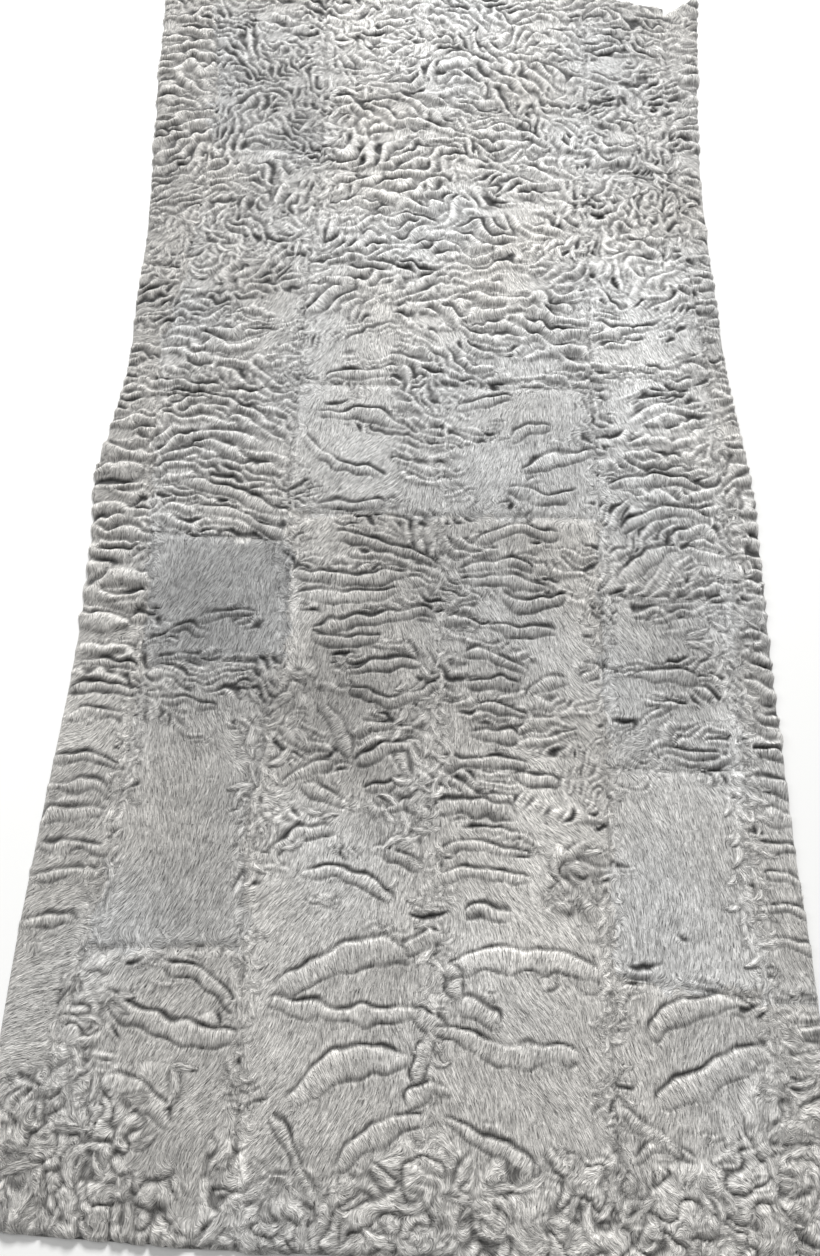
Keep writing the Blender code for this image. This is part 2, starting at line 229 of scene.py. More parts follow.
# How the small curls run in each part of a skin: the middle and reach of that part, the distance from one
# curl to the next, how far their lines turn from straight across, how much of that distance a curl fills,
# how strongly they rise, and how far their lines wander. A zone belongs to the skin that its middle lies in
Zone = namedtuple("Zone", "x along reach pitch turn fill strength wander")
ZONES = table(Zone, ("turn", "fill", "strength", "wander"), (
    (-285, 45, 50, 12, 10, 0.8, 1, 62),
    (-285, 140, 40, 20, 0, 0.4, 0.08, 14),
    (-275, 255, 60, 24, 0, 0.5, 0.1, 8),
    (-272, 350, 50, 18, 0, 0.6, 0.1, 8),
    (-270, 480, 60, 21, 3, 0.9, 0.85, 10),
    (-270, 620, 80, 15.5, 5, 0.9, 1, 8),
    (-272, 780, 70, 12.5, 0, 0.8, 0.95, 8),
    (-268, 890, 40, 13, 35, 0.7, 0.8, 22),
    (-266, 960, 50, 14, 25, 0.8, 1.15, 30),
    (-270, 1100, 90, 20, -5, 0.8, 1.15, 20),
    (-275, 1220, 60, 21.5, -5, 0.7, 0.8, 14),
    (-220, 20, 30, 12, 20, 0.8, 1, 62),
    (-160, 30, 40, 16, 0, 0.5, 0.15, 45),
    (-220, 110, 30, 16, -20, 0.5, 0.45, 18),
    (-150, 120, 50, 18, -20, 0.4, 0.15, 30),
    (-190, 270, 90, 16, 0, 0.5, 0.06, 30),
    (-210, 395, 20, 13, 0, 0.6, 0.85, 22),
    (-150, 385, 30, 14, -30, 0.6, 0.5, 30),
    (-225, 470, 20, 13, 0, 0.6, 0.8, 18),
    (-170, 480, 60, 13, 0, 0.5, 0.12, 30),
    (-240, 620, 30, 12, 5, 0.8, 0.9, 18),
    (-170, 620, 50, 12.5, -18, 0.75, 0.9, 18),
    (-190, 675, 40, 12, 0, 0.8, 0.9, 18),
    (-190, 740, 50, 15, -5, 0.75, 0.9, 26),
    (-150, 790, 30, 15.5, -10, 0.6, 0.5, 26),
    (-190, 840, 40, 13, 5, 0.8, 0.9, 26),
    (-200, 900, 30, 12, 60, 0.8, 0.9, 42),
    (-150, 920, 30, 12.5, -50, 0.8, 0.9, 42),
    (-180, 980, 30, 12.5, 10, 0.8, 1, 42),
    (-210, 1060, 40, 12, 10, 0.8, 1, 42),
    (-150, 1050, 40, 12.5, -20, 0.7, 0.7, 42),
    (-200, 1130, 30, 11.5, 0, 0.8, 1, 42),
    (-155, 1130, 30, 11, -65, 0.8, 1, 42),
    (-200, 1210, 40, 12, 10, 0.8, 1, 42),
    (-150, 1210, 40, 12, -20, 0.8, 1, 42),
    (15, 15, 30, 12, 0, 0.8, 1, 62),
    (-80, 15, 30, 12, -20, 0.8, 1, 62),
    (90, 15, 30, 12, 15, 0.8, 1, 62),
    (0, 90, 40, 20, 0, 0.4, 0.1, 16),
    (-70, 100, 50, 20, 0, 0.4, 0.08, 30),
    (90, 90, 50, 20, 0, 0.4, 0.08, 30),
    (80, 210, 40, 16, 0, 0.4, 0.15, 30),
    (-60, 260, 50, 16, 0, 0.4, 0.2, 30),
    (12, 220, 20, 11, 0, 0.6, 0.5, 16),
    (12, 330, 20, 11, -20, 0.6, 0.6, 16),
    (-2, 410, 18, 11, -35, 0.75, 1, 14),
    (30, 410, 14, 11, 10, 0.75, 0.9, 14),
    (0, 470, 18, 11, -35, 0.75, 1, 14),
    (35, 470, 14, 11, 10, 0.75, 0.9, 14),
    (4, 525, 20, 11.5, -38, 0.75, 1, 14),
    (40, 525, 16, 11.5, 5, 0.75, 0.9, 14),
    (-70, 440, 50, 13, 5, 0.5, 0.35, 30),
    (90, 450, 50, 14, -5, 0.5, 0.3, 30),
    (-80, 540, 40, 13, -10, 0.6, 0.6, 18),
    (100, 540, 40, 13, 5, 0.6, 0.5, 18),
    (-90, 340, 50, 15, -45, 0.6, 0.42, 30),
    (95, 385, 30, 12.5, -5, 0.65, 0.65, 26),
    (110, 310, 40, 12, 30, 0.6, 0.35, 30),
    (125, 250, 20, 10, 0, 0.8, 0.7, 18),
    (-5, 590, 22, 11, -28, 0.75, 1, 16),
    (35, 590, 18, 11, 15, 0.75, 1, 16),
    (-10, 640, 24, 11, -15, 0.78, 1, 20),
    (30, 640, 20, 11, 15, 0.78, 1, 20),
    (10, 690, 30, 11.5, 0, 0.78, 1, 24),
    (-80, 600, 50, 14, 0, 0.5, 0.2, 30),
    (-60, 660, 40, 14, 0, 0.5, 0.25, 30),
    (110, 660, 50, 14, 5, 0.5, 0.15, 30),
    (90, 600, 40, 14, 5, 0.5, 0.25, 30),
    (10, 760, 30, 13, 0, 0.78, 1, 26),
    (-85, 760, 26, 15.5, 0, 0.5, 0.2, 26),
    (90, 760, 60, 16, 5, 0.75, 1, 26),
    (0, 840, 50, 13.5, 5, 0.78, 1, 26),
    (-70, 840, 50, 14.5, 8, 0.75, 1, 26),
    (90, 850, 50, 17, -3, 0.75, 0.9, 26),
    (-50, 930, 50, 16, 10, 0.8, 1, 42),
    (50, 930, 50, 17.5, 0, 0.8, 1, 42),
    (120, 930, 40, 18, -15, 0.8, 1, 42),
    (-70, 1020, 50, 15, 25, 0.8, 1, 42),
    (30, 1020, 50, 16, 0, 0.8, 1, 42),
    (120, 1020, 40, 16, -20, 0.8, 1, 42),
    (-70, 1120, 50, 15, -15, 0.8, 1, 42),
    (20, 1120, 50, 16, 10, 0.8, 1, 42),
    (110, 1120, 50, 16, -30, 0.8, 1, 42),
    (-60, 1220, 50, 16, 20, 0.8, 1, 42),
    (40, 1220, 50, 16.5, -10, 0.8, 1, 42),
    (130, 1220, 50, 16.5, 25, 0.8, 1, 42),
    (210, 15, 30, 12, 20, 0.8, 1, 62),
    (250, 60, 30, 14, 20, 0.7, 0.8, 18),
    (200, 50, 20, 14, 0, 0.4, 0.1, 30),
    (200, 120, 50, 18, 20, 0.4, 0.1, 30),
    (210, 250, 90, 15, 0, 0.5, 0.06, 30),
    (190, 430, 30, 14, 0, 0.5, 0.12, 30),
    (245, 420, 30, 12.5, -5, 0.7, 0.8, 18),
    (235, 360, 25, 12.5, 0, 0.7, 0.8, 18),
    (180, 360, 20, 13, 40, 0.5, 0.3, 30),
    (180, 540, 40, 15, 38, 0.7, 0.9, 18),
    (212, 520, 30, 14.5, 30, 0.7, 1, 18),
    (250, 540, 40, 14.5, 10, 0.75, 1, 18),
    (210, 620, 50, 15, 3, 0.68, 0.68, 28),
    (210, 700, 50, 14.5, 0, 0.68, 0.62, 28),
    (190, 780, 40, 15.5, 25, 0.7, 0.85, 34),
    (240, 790, 40, 15.5, -5, 0.7, 0.8, 34),
    (210, 870, 50, 16, 5, 0.75, 0.9, 42),
    (230, 950, 40, 15, -60, 0.7, 0.8, 42),
    (180, 950, 30, 14.5, 10, 0.8, 0.9, 42),
    (200, 1020, 40, 14.5, -10, 0.8, 1, 42),
    (240, 1080, 40, 14.5, 20, 0.8, 1, 42),
    (190, 1120, 40, 14.5, -35, 0.8, 1, 42),
    (230, 1200, 40, 15, 10, 0.8, 1, 42),
    (190, 1220, 40, 15, -20, 0.7, 0.8, 42),
    (290, 30, 40, 12, 10, 0.8, 1, 62),
    (290, 120, 40, 15, 0, 0.7, 0.8, 14),
    (290, 200, 40, 18, -10, 0.5, 0.1, 8),
    (290, 280, 70, 21, 0, 0.92, 0.1, 8),
    (290, 420, 50, 18, -5, 0.92, 1, 8),
    (290, 580, 80, 17, 5, 0.92, 1, 8),
    (285, 750, 70, 12.5, -10, 0.8, 1, 8),
    (280, 920, 50, 11, -50, 0.7, 0.8, 22),
    (285, 1050, 60, 16, -5, 0.75, 0.9, 14),
    (290, 1180, 60, 16, 0, 0.75, 0.9, 14),
))

# Lighter and darker parts of the plate, partly the fur's own tone and partly painted light: a painted
# highlight over the far end, and painted shade at the left rim near the far end and in a fold left of the
# middle. The place of each, its reach both ways, and its share of lightness
Patch = namedtuple("Patch", "x along reach_x reach_along lightness")
PATCHES = table(Patch, ("lightness",), (
    (20, 1200, 130, 80, 1.35),
    (50, 950, 160, 160, 1.22),
    (210, 800, 50, 100, 1.28),
    (220, 670, 50, 60, 1.14),
    (-200, 810, 80, 50, 0.91),
    (-285, 960, 30, 100, 0.78),
    (-255, 920, 20, 40, 0.84),
    (110, 660, 50, 25, 0.88),
    (120, 605, 35, 18, 0.86),
    (20, 530, 140, 60, 0.78),
    (0, 420, 130, 70, 0.8),
    (-80, 380, 50, 50, 0.66),
    (-280, 390, 30, 60, 1.12),
    (220, 450, 50, 80, 0.84),
    (-180, 300, 50, 120, 0.84),
    (-200, 480, 40, 50, 0.78),
    (80, 180, 60, 20, 1.18),
    (-80, 270, 40, 50, 1.12),
    (-50, 325, 25, 20, 0.84),
    (125, 245, 20, 24, 0.82),
    (90, 250, 50, 80, 1.12),
    (300, 270, 20, 80, 1.1),
    (-150, 1210, 60, 50, 1.22),
    (262, 380, 12, 140, 1.16),
    (-246, 360, 10, 100, 1.12),
    (-130, 1060, 18, 30, 0.84),
    (-85, 1060, 22, 60, 1.08),
    (-80, 20, 50, 30, 0.8),
    (-87, 436, 12, 22, 0.84),
    (-37, 336, 14, 16, 0.82),
    (-38, 287, 14, 20, 0.84),
    (31, 429, 10, 14, 0.84),
    (132, 365, 14, 16, 0.86),
    (139, 263, 14, 20, 0.84),
    (-107, 364, 10, 18, 1.12),
    (44, 330, 18, 10, 1.12),
    (101, 318, 26, 18, 1.1),
    (52, 394, 16, 10, 1.12),
    (-190, 30, 40, 30, 0.84),
))

# Whorls, where the hair turns around a point: its place, its reach and how far it turns the hair
Whorl = namedtuple("Whorl", "x along reach turn")
WHORLS = table(Whorl, ("turn",), (
    (103, 362, 16, 120),
    (182, 362, 16, -110),
    (15, 60, 14, 90),
    (18, 132, 12, -90),
    (-135, 350, 20, 140),
    (-200, 20, 16, -120),
    (225, 30, 16, 120),
    (-75, 20, 16, 110),
    (20, 232, 12, 100),
    (-120, 300, 18, -100),
))

# The bands of tufts along the lengthwise seams and the back line: the line, where the band lies along the
# plate, how wide it is, how far its middle is to the right of the line, how far apart its tufts are, how
# long they are, and how far they lean to the right
Band = namedtuple("Band", "line near far width side spacing length lean")
BANDS = table(Band, ("line", "lean"), (
    ("right_outer", 20, 220, 10, 0, 5, 13, 15),
    ("right_outer", 200, 600, 22, -4, 1.8, 16, 40),
    ("right_outer", 600, 1220, 8, 0, 5.5, 11, 10),
    ("right_inner", 20, 420, 10, 0, 4, 13, 0),
    ("right_inner", 420, 1220, 9, 0, 5, 11, 0),
    ("left_inner", 100, 450, 12, 2, 4, 13, 0),
    ("left_inner", 450, 1220, 10, 0, 5, 11, 0),
    ("left_outer", 100, 420, 14, 3, 3.4, 13, -20),
    ("left_outer", 420, 1220, 8, 0, 5, 11, 0),
    ("back", 70, 200, 8, -6, 4, 13, 0),
    ("back", 200, 400, 14, -6, 3.4, 14, 0),
    ("back", 400, 740, 8, 0, 4, 11, 0),
))

# The woolly parts: the middle of each, its reach both ways, how far apart its tufts are, how long they are,
# and how strongly the fur there stands in round lumps
Wool = namedtuple("Wool", "x along reach_x reach_along spacing length lumps")
WOOL = table(Wool, ("lumps",), (
    (-285, 30, 26, 50, 22, 30, 1),
    (-235, 45, 35, 60, 22, 30, 1),
    (-190, 10, 30, 30, 22, 30, 1),
    (-248, 125, 18, 50, 18, 26, 0.7),
    (-205, 98, 35, 14, 20, 26, 0.6),
    (-105, 400, 18, 22, 18, 22, 0.5),
    (-130, 12, 16, 50, 20, 26, 0.9),
    (-70, 2, 50, 22, 22, 28, 1),
    (10, 20, 40, 40, 22, 30, 1),
    (90, 10, 50, 34, 20, 26, 1),
    (140, 20, 18, 30, 20, 24, 1),
    (215, 12, 55, 36, 20, 24, 1),
    (262, 60, 20, 50, 20, 24, 0.8),
    (295, 50, 18, 70, 22, 26, 0.8),
    (-125, 350, 22, 40, 17, 22, 0.4),
    (-100, 285, 28, 24, 17, 22, 0.5),
    (125, 245, 20, 24, 14, 20, 0.8),
    (0, 330, 20, 100, 15, 20, 0.4),
    (245, 480, 26, 50, 21, 20, 0.2),
    (-235, 880, 45, 50, 15, 22, 0.3),
    (-115, 1000, 20, 180, 15, 22, 0.3),
    (160, 950, 30, 150, 17, 22, 0),
    (240, 1020, 30, 180, 17, 22, 0),
    (-60, 1180, 60, 70, 18, 24, 0),
))

# The chance hills and hollows that make the fur uneven: the reach of each kind across and along it
Reach = namedtuple("Reach", "x along")
HILLS = {
    "zone borders": Reach(0.014, 0.014),
    "crinkled parts": Reach(0.012, 0.012),
    "wide wander": Reach(0.026, 0.022),
    "middling wander": Reach(0.011, 0.010),
    "short wander": Reach(0.006, 0.005),
    "pitch": Reach(0.018, 0.012),
    "small warp": Reach(0.005, 0.005),
    "crinkles": Reach(0.0026, 0.0040),
    "fill": Reach(0.020, 0.010),
    "breaks": Reach(0.010, 0.0045),
    "dashes": Reach(0.009, 0.0035),
    "wide warp": Reach(0.016, 0.016),
    "short warp": Reach(0.0045, 0.0045),
    "scallops": Reach(0.0045, 0.020),
    "creases": Reach(0.006, 0.006),
    "wool": Reach(0.006, 0.006),
    "lumps": Reach(0.0055, 0.0055),
    "lump stray": Reach(0.005, 0.005),
    "wide turn": Reach(0.035, 0.035),
    "short turn": Reach(0.011, 0.011),
    "flare": Reach(0.004, 0.006),
    "lump turn": Reach(0.008, 0.008),
    "clumps": Reach(0.0013, 0.0013),
    "swell": Reach(0.022, 0.022),
    "mottle": Reach(0.016, 0.016),
    "tone stray": Reach(0.004, 0.004),
    "grain": Reach(0.0035, 0.0035),
    "seam hair": Reach(0.005, 0.005),
    "warmth": Reach(0.030, 0.030),
}

# The waves that make the small curls: their raster's step, the directions and distances they are made of,
# the spread of each, how often they are drawn together, and how far faint waves stay faint then and at last
WAVE_STEP = 0.0015
WAVE_TURNS = 12
WAVE_PITCHES = (0.0075, 0.0105, 0.0147, 0.0206, 0.0288)
WAVE_TURN_SPREAD = 0.42
WAVE_PITCH_SPREAD = 0.38
WAVE_ROUNDS = 2
WAVE_HOLD = 0.2
LAST_WAVE_HOLD = 0.05

# How far a zone's own values hold around its middle, as a share of its reach squared, how far the borders
# between zones stray, and the shares of a zone's wander that come over long, middling and short stretches
ZONE_CORE = 0.08
ZONE_WARP = 0.009
WANDER_SHARES = {"wide wander": 0.5, "middling wander": 0.7, "short wander": 0.4}

# How uneven the small curls' pitch and fill are, the fill's bounds, how much closer and higher curls are at
# the far end, and between which places along the plate they draw closer
PITCH_SPREAD = 0.16
FILL_SPREAD = 0.08
FILL_BOUNDS = (0.3, 0.92)
FAR_CLOSENESS = 0.12
FAR_CLOSE = (0.75, 1.0)
FAR_GAIN = 0.35

# The back line, from which the hair of the middle column spreads to both sides, between which places along
# the plate its crinkles end, and the distance that counts beyond that
BACK_LINE = 0.020
BACK_END = (0.74, 0.79)
BACK_OFF = 1.0

# Small crinkles along the seams and the back line: how far they reach, from what to what height the chance
# hills bring them in, their distance, and how far their lines wander
CRINKLE_REACH = 0.012
CRINKLED_HILLS = (-0.9, 0.5)
CRINKLE_PITCH = 0.0090
CRINKLE_WANDER = 60

# How far the lines of small curls stray from their courses, how far they waver in short crinkles at the
# near end and how much more with each metre, and how far the lines of large curls stray over a short and a
# long way
SMALL_WARP = 0.0013
WAVER_NEAR = 0.5
WAVER = 0.0009
SHORT_WARP = 0.0013
WIDE_WARP = 0.0022

# Where the small curls break off: the strength above which they mostly hold, how fast they hold better
# above it and worse below it, the part that chance has, and how softly they end
STEADY_STRENGTH = 0.45
HOLD_ABOVE = 2.0
HOLD_BELOW = 4.2
BREAK_CHANCE = 0.85
BREAK_SOFTNESS = 0.45

# How dark the painted shade in the small curls' far creases is at the near end, how much darker at the far
# end, how uneven, between what bounds, and the least width of a crease and what its darkness adds to it;
# the same values set how deep the creases dip
DASH_NEAR = 0.82
DASH_FAR = 0.12
DASH_SPREAD = 0.45
DASH_BOUNDS = (0.10, 1.4)
CREASE_LEAST = 0.65
CREASE_MORE = 0.5

# A small curl's height against its width, how far its crest is moved to its far edge and how flat its top
# is, the width of the creases beside all curls at the plate's near and far end, their depth, and the share
# of it on a near side
CURL_RISE = 0.17
SMALL_CREST = 2.0
SMALL_FLATNESS = 2.2
NEAR_CREASE_WIDTH = 0.0013
FAR_CREASE_WIDTH = 0.0024
CREASE_DEPTH = 0.0014
NEAR_CREASE = 0.6

# The fur just beyond a curl's near edge stands up in a lip: its rise for small and for large curls, how far
# it reaches, and how far the painted shade at the foot of a small curl behind it reaches, both also as
# shares of a curl's pitch that they don't go past
SMALL_LIP = 0.0007
LARGE_LIP = 0.0010
LIP_REACH = 0.0030
LIP_SHARE = 0.2
FOOT_REACH = 0.0026
FOOT_SHARE = 0.18

# How far the painted shade at the foot of a large curl reaches, the share of this at the near end, and
# between which places along the plate it grows
LARGE_FOOT_REACH = 0.0044
LARGE_FOOT_NEAR = 0.4
LARGE_FOOT_GROWTH = (0.18, 0.36)

# A large curl's width and height in this fur against its table, how its height rises to its far edge and
# where it drops there, how far it clears small curls away, how far its near edge strays in scallops, how
# deep the crease there is, and how dark the painted shade in its creases is
CURL_SPREAD = 1.12
CURL_LIFT = 0.56
LARGE_CREST = 0.32
LARGE_EDGE = 0.86
CURL_MARGIN = 0.004
CURL_SCALLOP = 0.0011
LARGE_NEAR_CREASE = 0.85
LARGE_SHADE = 0.9

# Where towards a large curl's ends its creases and its hold on the small curls fade, in half lengths, how
# far a crease lies beyond an edge, in its widths, and the least width that anything has
CREASE_ENDS = (1.02, 0.85)
COVER_ENDS = (1.15, 0.95)
CREASE_SIDE = 0.4
LEAST_WIDTH = 1e-5

# How uneven the painted shade in the creases is, and its bounds; the same values make their dip uneven
CREASE_SPREAD = 0.35
CREASE_BOUNDS = (0.2, 1.3)

# How fully the hair on a small curl turns straight down its side, how much less in wool, and the height
# from which on a large curl it does so fully
HAIR_ON_CURLS = 0.85
HAIR_IN_WOOL = 0.7
HAIR_ON_LARGE = 0.0012

# The tufts: how much their lines turn, in radians, how wide they are against their length, their height,
# the length from which they are that high, how dark the painted shadow in the crease around their tips is,
# from which part of the length on and how wide, how far their tones differ, and the chance shares of
# length, width and height
TUFT_BEND = 1.5
TUFT_LEAST_BEND = 0.05
TUFT_MOST_BEND = 2.2
TUFT_WIDTH = 0.30
TUFT_HEIGHT = 0.0019
TUFT_FULL_LENGTH = 0.018
TUFT_TIP_CREASE = 0.5
TUFT_TIP_CREASE_START = 0.15
TUFT_SHADOW = 0.0014
TUFT_TONE = 0.06
TUFT_LENGTH_SHARES = (0.7, 1.3)
TUFT_WIDTH_SHARES = (0.75, 1.25)
TUFT_HEIGHT_SHARES = (0.6, 1.2)

# A tuft's form: how far its widest part lies towards its tip and how full it is, how round its back is, its
# height at the root as a share of that at the tip, and how much of the fur's rise it needs to lie over it
TUFT_BELLY = 0.7
TUFT_FULLNESS = 0.8
TUFT_BACK = 0.8
TUFT_ROOT = 0.4
TUFT_OVER = 0.45

# How far the tufts along a seam turn from their lean, in radians, how far they stray along it, how high
# they rise against woolly tufts, and how much lighter they are
BAND_SPREAD = 0.55
BAND_STRAY = 0.004
BAND_RISE = 0.6
BAND_LIGHT = 0.05

# The woolly parts: how far their tufts turn, in radians, and how far out of the middle they lie, in
# reaches, how far the lumps reach, how the wool sets in, how ragged its border is, and how much of the
# curls shows in it
WOOL_SPREAD = 1.2
WOOL_TUFTS_REACH = 1.1
WOOL_REACH = 1.15
WOOL_START = (0.25, 0.75)
WOOL_RAGGED = 0.12
CURLS_IN_WOOL = 0.35

# The lumps of woolly fur: their height and how steeply they rise to it, how narrow the creases between them
# are and how dark their painted shade is, how far their places stray, and how far the hair turns from lump
# to lump, in radians
LUMP_HEIGHT = 0.0030
LUMP_STEEPNESS = 1.1
LUMP_CREASE = 0.20
LUMP_SHADE = 0.75
LUMP_STRAY = 0.0035
LUMP_TURN = 1.1

# How far the hair spreads from the back line and over what reach, how far it turns from skin to skin, over
# a wide and a short way, and beside a seam, all in radians but the first, and how far from a seam it flares
BACK_SPREAD = 30
BACK_SPREAD_REACH = 0.10
SKIN_TURN = 0.3
WIDE_TURN = 0.22
SHORT_TURN = 0.14
FLARE_TURN = 0.9
FLARE_REACH = 0.008

# The rise of the fur's swell, of single strands and of clumps, the length of both, and the dip along a seam
SWELL = 0.0003
FINE_RISE = 0.00009
CLUMP_RISE = 0.00018
FINE_LENGTH = 0.004
CLUMP_LENGTH = 0.007
SEAM_DIP = 0.0014
SEAM_REACH = 0.0040

# How far the tone varies with its mottle, its grain, its strands and its clumps, how much more with the
# clumps in wool and tufts, how far the tones of two skins stray over their seam, and the warmth's spread
MOTTLE_TONE = 0.03
GRAIN_TONE = 0.035
FINE_TONE = 0.08
CLUMP_TONE = 0.04
WOOL_TONE = 0.05
TONE_STRAY = 0.0028
WARMTH_SPREAD = 0.25

# The light hair along a seam: how light, how far, and the even and the uneven share of it
SEAM_LIGHT = 0.20
SEAM_LIGHT_REACH = 0.0035
SEAM_LIGHT_EVEN = 0.6
SEAM_LIGHT_UNEVEN = 0.4

# The tone above which the lightest places, mostly lifted by the painted highlights on crests, are held
# back, how much further it can rise, and how firm the borders of lighter and darker parts are
TONE_KNEE = 1.20
TONE_ROOM = 0.25
PATCH_FIRMNESS = 1.5

# Painted shade darkens hair on a slope that faces the near end, which is seen end on and turned from the
# far
# lamp: by how much, and how soon. A crest gets a painted highlight: by how much, over what reach it is told
# from its surroundings, the height at which it is fully lit, and how much more light it gets at the far end
SLOPE_SHADE = 0.10
SLOPE_GAIN = 1.5
CREST_LIGHT = 0.28
CREST_REACH = Reach(0.0035, 0.0035)
CREST_SIZE = 0.0007
FAR_CREST_LIGHT = 0.9

# The mesh's steps along the plate at its near and far end, and across it, and how often a skin's slanted
# rows are set again to its curved sides
NEAR_STEP = 0.00120
FAR_STEP = 0.00160
STEP_ACROSS = 0.00155
PLAN_ROUNDS = 6

# The fur rolls down over its outer rim, and curls that run out there bulge past it
RIM = 0.007
RIM_HEIGHT = 0.0010
BULGE_REACH = 0.012
BULGE = 0.9

# Edges bent more than this are shaded sharp, and the material reads these values at the foot of the walls
SHARP_EDGE = 60
FOOT_VALUES = {"crease": 0.0, "tone": 0.8, "warmth": 1.0}

# The fur's surface and tones, how far strokes change them and how dark the painted shade in the creases is,
# how high the strokes stand in the material, and the fine and the broad strokes: their cells' size, their
# width and length, and their place
FUR_SURFACE = {
    "Roughness": 0.62,
    "Sheen Weight": 0.25,
    "Sheen Roughness": 0.45,
    "Specular IOR Level": 0.30,
}
COOL_TONE = (0.535, 0.536, 0.530, 1)
WARM_TONE = (0.535, 0.520, 0.494, 1)
STROKE_TONE = 2.4
CREASE_SHADE = 0.92
STROKE_BUMP = 0.0010
Stroke = namedtuple("Stroke", "cell width length place")
STROKES = (
    Stroke(0.009, 0.00062, 0.0060, (0, 0, 0)),
    Stroke(0.013, 0.00100, 0.0090, (3.1, 5.27, 0)),
)
CELLS_APART = 40.0

# The leather: its roughness, the scale and height of its nap, and its darker and lighter tones
LEATHER_ROUGHNESS = 0.9
NAP_SCALE = 180.0
NAP_BUMP = 0.0002
LEATHER_TONES = ((0.3, (0.52, 0.48, 0.42, 1)), (0.7, (0.64, 0.61, 0.55, 1)))

# Half the floor's side, its depth under the plate, its tone and its roughness
FLOOR_HALF = 6.0
FLOOR_DEPTH = 0.0002
FLOOR_TONE = (0.88, 0.88, 0.87, 1)
FLOOR_ROUGHNESS = 0.9

# The lamps, turned to the plate's middle, with their power, their size, and the light from all around
Lamp = namedtuple("Lamp", "name place power")
LAMPS = (
    Lamp("main", (0.6, 4.6, 3.0), 400.0),
    Lamp("left", (-1.8, 0.4, 1.4), 14.0),
)
LAMP_SIZE = 1.2
SURROUND_LIGHT = 0.36

# The camera: its focal length in pixels of the photograph's 1256 rows, its place over the plate, how far it
# looks down from level, how far it turns to the left, and its sensor's longer side in millimetres
CAMERA_FOCUS = 950
PHOTO_ROWS = 1256
CAMERA_X = -0.0017
CAMERA_ALONG = 0.1609
CAMERA_HEIGHT = 0.777
CAMERA_DOWN = 68.96
CAMERA_YAW = 1.27
SENSOR = 36.0


# Places on the plate


def across(line, along):
    """The places across the plate of an edge or lengthwise seam, smooth from one section to the next."""
    stations = np.array([section.along for section in SECTIONS])
    places = np.array([getattr(section, line) for section in SECTIONS])
    slopes = np.gradient(places, stations)
    held = np.clip(along, stations[0], stations[-1])
    nearer = np.clip(np.searchsorted(stations, held, side="right") - 1, 0, len(stations) - 2)
    span = stations[nearer + 1] - stations[nearer]
    t = (held - stations[nearer]) / span
    return (
        (2 * t**3 - 3 * t**2 + 1) * places[nearer]
        + (t**3 - 2 * t**2 + t) * span * slopes[nearer]
        + (3 * t**2 - 2 * t**3) * places[nearer + 1]
        + (t**3 - t**2) * span * slopes[nearer + 1]
    )


def column_middle(column, along):
    """The place across the plate of a column's middle."""
    return 0.5 * (across(column.left, along) + across(column.right, along))


Panel = namedtuple("Panel", "name column near near_slope far far_slope lightness warmth first last")


def plate_panels():
    """The skins in the order of their table, with their names, cross seams and places in their columns."""
    panels = []
    for column in COLUMNS:
        skins = [skin for skin in SKINS if skin.column == column.name]
        ends = [(skin.near, skin.slope) for skin in skins[1:]] + [(column.far_end, column.far_slope)]
        for number, (skin, end) in enumerate(zip(skins, ends), start=1):
            place = (number == 1, number == len(skins))
            name = f"skin_{column.name}_{number}"
            panels.append(Panel(name, column, *skin[1:3], *end, *skin[3:], *place))
    return panels


PANELS = plate_panels()


def seam_gaps(panel, x, along):
    """How far points are beyond a skin's near seam, and how far they are before its far seam."""
    near = panel.near + panel.near_slope * (x - column_middle(panel.column, panel.near))
    far = panel.far + panel.far_slope * (x - column_middle(panel.column, panel.far))
    return along - near, far - along


def panel_numbers(x, along):
    """For each point the number of the skin it lies in. Points off the plate count to the nearest one."""
    numbers = np.zeros(x.shape, int)
    for column in COLUMNS:
        in_column = np.ones(x.shape, bool)
        if column is not COLUMNS[0]:
            in_column &= x >= across(column.left, along)
        if column is not COLUMNS[-1]:
            in_column &= x < across(column.right, along)
        for number, panel in enumerate(PANELS):
            if panel.column is column:
                numbers[in_column & (panel.first | (seam_gaps(panel, x, along)[0] > 0))] = number
    return numbers


def seam_distances(x, along, numbers):
    """How far each point is from the nearest seam and from the plate's outer edge, inward of it."""
    to_seam = np.min([np.abs(x - across(line, along)) for line in SEAM_LINES], axis=0)
    to_edge = np.minimum(x - across("left_edge", along), across("right_edge", along) - x)
    for number, panel in enumerate(PANELS):
        inside = numbers == number
        for gap, outer in zip(seam_gaps(panel, x[inside], along[inside]), (panel.first, panel.last)):
            if outer:
                to_edge[inside] = np.minimum(to_edge[inside], gap)
            else:
                to_seam[inside] = np.minimum(to_seam[inside], np.abs(gap))
    return to_seam, to_edge


# Rasters: fields of values over the plate's coordinates


Grid = namedtuple("Grid", "step x along")


def raster(step):
    """The step of a raster and the places across and along the plate of its points."""
    columns = np.arange(RASTER_LEFT, RASTER_RIGHT, step)
    rows = np.arange(RASTER_NEAR, RASTER_FAR, step)
    return Grid(step, *np.meshgrid(columns, rows))


def sample(field, step, x, along):
    """The values of a raster's field at any places, worked out between its four nearest points."""
    column = np.clip((x - RASTER_LEFT) / step, 0, field.shape[1] - RASTER_HOLD)
    row = np.clip((along - RASTER_NEAR) / step, 0, field.shape[0] - RASTER_HOLD)
    left = column.astype(int)
    near = row.astype(int)
    u = column - left
    v = row - near
    nearer = (1 - u) * field[near, left] + u * field[near, left + 1]
    farther = (1 - u) * field[near + 1, left] + u * field[near + 1, left + 1]
    return (1 - v) * nearer + v * farther


